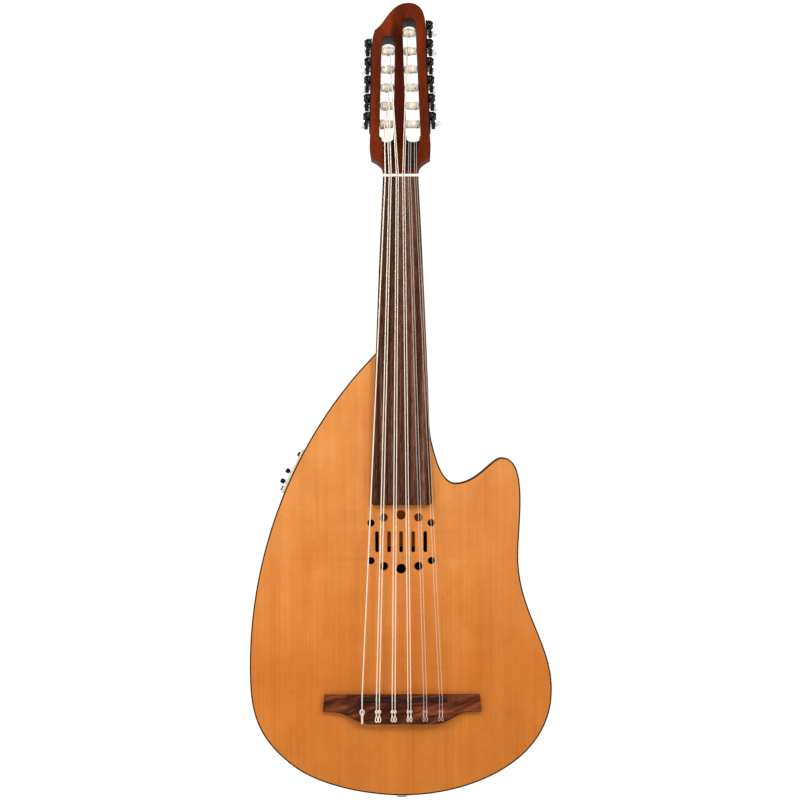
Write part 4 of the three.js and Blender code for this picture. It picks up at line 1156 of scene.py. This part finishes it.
def make_roller(body):
    joint = ROLLERS[body]
    center = Vector(joint["pos_m"])
    outward = -1 if "left" in body else 1
    axis = X_AXIS * outward
    matrix = frame_along(center, axis, HEAD_BACK)
    low, high = extent_at(body, center, axis, 4.2 * MM, 4.6 * MM)
    gear_low, gear_high = extent_at(body, center, axis, 5.5 * MM, 6.1 * MM)
    pin_low, _ = extent_at(body, center, axis, 1.9 * MM, 2.3 * MM)
    round_over = 0.4 * MM
    sleeve = lathe(
        f"sleeve_{body}",
        [
            (ROLLER_PIN, low + 0.2 * MM),
            (SLEEVE_RADIUS - round_over, low),
            (SLEEVE_RADIUS, low + round_over),
            (SLEEVE_RADIUS, high - round_over),
            (SLEEVE_RADIUS - round_over, high),
            (ROLLER_PIN, high - 0.2 * MM),
        ],
        matrix,
        48,
    )
    side = "left" if "left" in body else "right"
    row = sorted((r for r in ROLLERS if side in r), key=lambda r: -ROLLERS[r]["pos_m"][2])
    turn = math.radians(HOLE_TURNS[side][row.index(body)])
    facing = HEAD_UP * math.sin(turn) - HEAD_BACK * math.cos(turn)
    across = frame_along(center + axis * (high - HOLE_INSET), facing, axis)
    hole = lathe("string_hole", [(HOLE_RADIUS, -6 * MM), (HOLE_RADIUS, 6 * MM)], across, 16)
    cut(sleeve, [hole])
    shade(sleeve)
    # A black plug inside the string hole, recessed from the sleeve's face: painted shade standing in for
    # the dark inside of the hole.
    depth = SLEEVE_RADIUS - 0.7 * MM
    hole_shade_plug = lathe(
        f"string_hole_shade_{body}",
        [(0, -depth), (HOLE_RADIUS, -depth), (HOLE_RADIUS, depth), (0, depth)],
        across,
        16,
    )
    finish_piece(hole_shade_plug, "graphite", body)
    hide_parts(body)
    finish_piece(sleeve, "sleeve", body)
    shaft = lathe(
        f"roller_shaft_{body}",
        [(0, pin_low), (ROLLER_PIN, pin_low), (ROLLER_PIN, high), (ROLLER_SHAFT, high),
         (ROLLER_SHAFT, gear_low), (3.6 * MM, gear_low), (3.6 * MM, gear_high), (0, gear_high)],
        matrix,
        32,
    )
    finish_piece(shaft, "nickel", body)
    gear = toothed_wheel(f"gear_{body}", matrix, GEAR_RADIUS, GEAR_TEETH, gear_low, gear_high)
    finish_piece(gear, "gear", body)
    turned = Matrix.Rotation(math.radians(25 + 31 * int(body[-1])), 4, "Z")
    screw_place = frame_along(center + axis * gear_high, axis, HEAD_BACK) @ turned
    screw = slotted_screw(f"gear_screw_{body}", screw_place, 2.5 * MM, 1.3 * MM)
    finish_piece(screw, "nickel", body)


def worm_thread(name, matrix, low, high, core, crest, pitch):
    """A right-handed thread wound on the worm's core."""
    steps = 20
    turns = (high - low) / pitch - 0.6
    count = int(turns * steps)
    rings = []
    for i in range(count + 1):
        angle = 2 * math.pi * i / steps
        fade = min(1.0, i / 8, (count - i) / 8)
        reach = core + (crest - core) * fade
        along = low + pitch * 0.3 + pitch * i / steps
        direction = Vector((math.cos(angle), math.sin(angle), 0))
        section = [(core - 0.1 * MM, -0.42), (reach, -0.16), (reach, 0.16), (core - 0.1 * MM, 0.42)]
        rings.append([
            matrix @ (direction * radius + Vector((0, 0, along + shift * pitch)))
            for radius, shift in section
        ])
    return shade(rings_object(name, rings), 50)


def button_shape(name, matrix):
    """A pearl button: a flattened tulip, waisted at the shaft and dished on both faces."""
    low, high = BUTTON_SPAN
    length = high - low
    stations = 22
    around = 40
    rings = []
    for i in range(stations + 1):
        t = i / stations
        swell = math.sin(math.pi * min(1, (t * 0.93 + 0.07)) ** 0.85) ** 0.55
        half_width = max(0.25, swell) * BUTTON_HALF * (0.42 + 0.58 * min(1, t * 2.2 + 0.05))
        half_depth = BUTTON_THICKNESS / 2 * (0.78 + 0.22 * math.cos(2 * math.pi * t))
        closing = math.sqrt(max(0.0, 1 - max(0.0, (t - 0.86) / 0.14) ** 2))
        half_width *= 0.25 + 0.75 * closing
        half_depth *= 0.35 + 0.65 * closing
        ring = []
        for k in range(around):
            angle = 2 * math.pi * k / around
            c, s = math.cos(angle), math.sin(angle)
            x = half_width * math.copysign(abs(c) ** 0.8, c)
            y = half_depth * math.copysign(abs(s) ** 0.7, s)
            ring.append(matrix @ Vector((x, y, low + length * t)))
        rings.append(ring)
    return shade(rings_object(name, rings), 50)


def make_key(body):
    joint = KEYS[body]
    origin = Vector(joint["pos_m"])
    axis = Vector(joint["axis"]).normalized()
    widest = max(
        (v.co - origin for v in frame["nodes"][body].data.vertices),
        key=lambda offset: (offset - axis * offset.dot(axis)).length,
    )
    side = widest - axis * widest.dot(axis)
    matrix = frame_along(origin, axis, side)
    low, high = WORM_SPAN
    core = 2.0 * MM
    shaft = lathe(
        f"worm_shaft_{body}",
        [
            (0, 2.2 * MM),
            (SHAFT_RADIUS, 2.2 * MM),
            (SHAFT_RADIUS, low),
            (core, low),
            (core, high),
            (SHAFT_RADIUS, high),
            (SHAFT_RADIUS, 19 * MM),
            (2.3 * MM, 19.2 * MM),
            (2.3 * MM, 20.6 * MM),
            (SHAFT_RADIUS, 20.8 * MM),
            (SHAFT_RADIUS, 28.6 * MM),
            (2.6 * MM, 28.9 * MM),
            (2.6 * MM, 30.7 * MM),
            (0, 30.8 * MM),
        ],
        matrix,
        32,
    )
    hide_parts(body)
    finish_piece(shaft, "nickel", body)
    cap = lathe(
        f"worm_cap_{body}",
        [(0, 0.5 * MM), (1.2 * MM, 0.7 * MM), (1.5 * MM, 1.1 * MM), (1.5 * MM, 2.2 * MM), (0, 2.2 * MM)],
        matrix,
        24,
    )
    finish_piece(cap, "plating", body)
    thread = worm_thread(f"worm_{body}", matrix, low, high, core, WORM_RADIUS, 2.4 * MM)
    finish_piece(thread, "gear", body)
    button = button_shape(f"button_{body}", matrix)
    finish_piece(button, "pearl", body)
    tip = frame_along(origin + axis * (BUTTON_SPAN[1] - 0.15 * MM), axis, side)
    screw = slotted_screw(f"button_screw_{body}", tip, 1.5 * MM, 0.7 * MM)
    finish_piece(screw, "nickel", body)


def make_tuners():
    for side in ("left", "right"):
        node = f"tuner_plate_{side}"
        outward = -1 if side == "left" else 1
        plate = refined(f"geared_plate_{side}", node, 0.3 * MM, 2)
        plate.data.transform(Matrix.Translation((-outward * PLATE_SEATING, 0, 0)))
        finish_piece(plate, "plating")
        rollers = [r for r in ROLLERS if side in r]
        centers = [Vector(ROLLERS[r]["pos_m"]) for r in rollers]
        for i, center in enumerate(centers):
            spot = center - HEAD_UP * (8.8 * MM)
            reach = plate_reach(node, spot, outward)
            place = frame_along(
                Vector((reach, spot.y, spot.z)), X_AXIS * outward, HEAD_UP + HEAD_BACK * (i % 3 - 1)
            )
            screw = slotted_screw(f"plate_screw_{side}_{i + 1}", place, 1.7 * MM, 0.8 * MM)
            finish_piece(screw, "nickel")
    for body in ROLLERS:
        make_roller(body)
    for body in KEYS:
        make_key(body)


def plate_reach(node, spot, outward):
    """How far out the plate's face is next to a spot on the headstock's side."""
    start = Vector((0.08 * outward, spot.y, spot.z))
    place = tree_of(frame["nodes"][node]).ray_cast(start, Vector((-outward, 0, 0)))[0]
    return place.x if place else spot.x


# ---- Electronics and fittings ----------------------------------------------------------
def make_preamp():
    bezel = refined("side_bezel", "preamp_bezel", 0.7 * MM, 3)
    finish_piece(bezel, "cream")
    drawer = refined("cream_drawer", "battery_drawer", 0.3 * MM, 2)
    finish_piece(drawer, "cream", "battery_drawer")
    button = refined("round_tuner_button", "tuner_button", 0.5 * MM, 3)
    finish_piece(button, "black", "tuner_button")
    for joint in frame["joints"]:
        if joint["name"] in ("volume_turn", "blend_turn"):
            make_knob(joint)
    place = housing_frame()
    low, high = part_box("tuner_button")
    reach = max((place.inverted() @ v.co).x for v in frame["nodes"]["tuner_button"].data.vertices)
    spot = place.inverted() @ ((low + high) / 2)
    spot.x = reach
    dome = lathe(
        "tuner_button_dome",
        [(0, -0.3 * MM), (1.9 * MM, -0.3 * MM), (1.9 * MM, 0.3 * MM), (1.5 * MM, 0.7 * MM),
         (0.8 * MM, 0.9 * MM), (0, 0.95 * MM)],
        frame_along(place @ spot, place.col[0].xyz, place.col[2].xyz) @ Matrix.Diagonal((1.35, 1, 1, 1)),
        24,
    )
    finish_piece(dome, "black", "tuner_button")
    face = -seat_plane()
    for i, along in enumerate((20.5, 23.3)):
        spot = place @ Vector((face, -11 * MM, along * MM))
        lens = lathe(
            f"lamp_lens_{i + 1}",
            [(0, -0.3 * MM), (1.3 * MM, -0.3 * MM), (1.3 * MM, 1.0 * MM), (1.0 * MM, 1.5 * MM),
             (0.5 * MM, 1.75 * MM), (0, 1.8 * MM)],
            frame_along(spot, place.col[0].xyz, (0, 0, 1)),
            20,
        )
        finish_piece(lens, "black")
    dress_node("preamp_housing", "black")
    dress_node("battery", "battery")


def make_knob(joint):
    """A ribbed control knob with a pointer line on its end."""
    body = joint["child"]
    axis = Vector(joint["axis"]).normalized()
    center = Vector(joint["pos_m"])
    tops = [(v.co - center).dot(axis) for v in frame["nodes"][body].data.vertices]
    foot = extent_at(body, center, axis, 2.4 * MM, 2.8 * MM)[0]
    top = max(tops)
    matrix = frame_along(center, axis, (0, -1, 0))
    ribs = 18
    around = ribs * 4
    radius = KNOB_RADIUS
    rings = []
    layers = [
        (foot, 0.0, 0.1), (foot + 0.6 * MM, 0.0, 0.0), (foot + 1.0 * MM, 1.0, 0.0),
        (top - 1.0 * MM, 1.0, 0.0), (top - 0.5 * MM, 0.0, 0.15), (top, 0.0, 0.7),
    ]
    if body == "volume_knob":
        layers = [
            (foot, 0.0, 1.0), (foot + 0.5 * MM, 0.0, 0.4), (foot + 1.3 * MM, 0.8, 0.05),
            (top - 1.9 * MM, 0.8, 0.0), (top - 1.1 * MM, 0.2, 0.3), (top - 0.4 * MM, 0.0, 0.8),
            (top, 0.0, 1.5),
        ]
    for along, ribbed, drawn in layers:
        ring = []
        for i in range(around):
            angle = 2 * math.pi * i / around
            dip = 0.28 * MM * ribbed * (0.5 + 0.5 * math.cos(ribs * angle))
            reach = radius - dip - drawn * MM
            ring.append(matrix @ Vector((reach * math.cos(angle), reach * math.sin(angle), along)))
        rings.append(ring)
    cap = shade(rings_object(f"ribbed_{body}", rings), 40)
    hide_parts(body)
    finish_piece(cap, "black", body)
    stem = lathe(
        f"stem_{body}",
        [(0, min(tops)), (1.5 * MM, min(tops)), (1.5 * MM, foot + 0.5 * MM), (0, foot + 0.5 * MM)],
        matrix,
        24,
    )
    finish_piece(stem, "steel", body)
    line = prism(
        f"pointer_{body}", (-0.3 * MM, -0.3 * MM, top - 0.2 * MM), (1.9 * MM, 0.3 * MM, top + 0.08 * MM)
    )
    line.data.transform(matrix)
    finish_piece(shade(line), "bone", body)


def make_fittings():
    low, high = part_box("output_jack")
    middle = (low + high) / 2
    down = frame_along(Vector((middle.x, middle.y, low.z)), (0, 0, 1), (1, 0, 0))
    jack = lathe(
        "jack_barrel",
        [
            (3.3 * MM, 0.4 * MM), (3.6 * MM, 0), (4.8 * MM, 0), (5.2 * MM, 0.5 * MM),
            (5.2 * MM, 30 * MM), (3.7 * MM, high.z - low.z), (0.2 * MM, high.z - low.z),
            (0.2 * MM, 35 * MM), (3.3 * MM, 34 * MM), (3.3 * MM, 0.4 * MM),
        ],
        down,
        48,
    )
    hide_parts("output_jack")
    finish_piece(jack, "plating")
    ring = refined("jack_ring", "jack_flange", 0.3 * MM, 2)
    finish_piece(ring, "nickel")
    button_low, button_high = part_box("strap_button")
    middle = (button_low + button_high) / 2
    out = frame_along(Vector((middle.x, button_low.y, middle.z)), (0, 1, 0), (1, 0, 0))
    pin = lathe(
        "polished_strap_button",
        [
            (0, 0), (6.2 * MM, 0), (6.5 * MM, 0.4 * MM), (6.4 * MM, 1.4 * MM), (4.4 * MM, 2.8 * MM),
            (3.6 * MM, 4.6 * MM), (3.6 * MM, 7.4 * MM), (4.4 * MM, 9.2 * MM), (5.7 * MM, 10.3 * MM),
            (6.0 * MM, 11.2 * MM), (5.5 * MM, 11.9 * MM), (3 * MM, 12 * MM), (2.6 * MM, 11.4 * MM),
            (0, 11.2 * MM),
        ],
        out,
        48,
    )
    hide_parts("strap_button")
    finish_piece(pin, "nickel")
    screw = slotted_screw(
        "strap_screw", out @ Matrix.Translation((0, 0, 11.2 * MM)), 2.4 * MM, 0.7 * MM
    )
    finish_piece(screw, "steel")
    dress_node("soundboard_bracing", "spruce")
    dress_node("saddle_pickup", "nickel")
    dress_node("truss_rod", "steel")


# ---- Scene -----------------------------------------------------------------------------
bpy.context.scene.view_settings.view_transform = "Standard"
make_camera()
make_world()
make_floor()
area_light("key_light", (-1.0, -1.8, 1.3), 1.1, 29)
area_light("fill_light", (1.5, -1.9, 0.9), 1.3, 32)
area_light("side_light", (-2.5, -0.2, 0.2), 1.2, 28)
area_light("rim_light", (0.6, 2.2, 1.4), 1.2, 20)
make_body()
make_top()
make_neck()
make_bridge()
make_strings()
make_tuners()
make_preamp()
make_fittings()
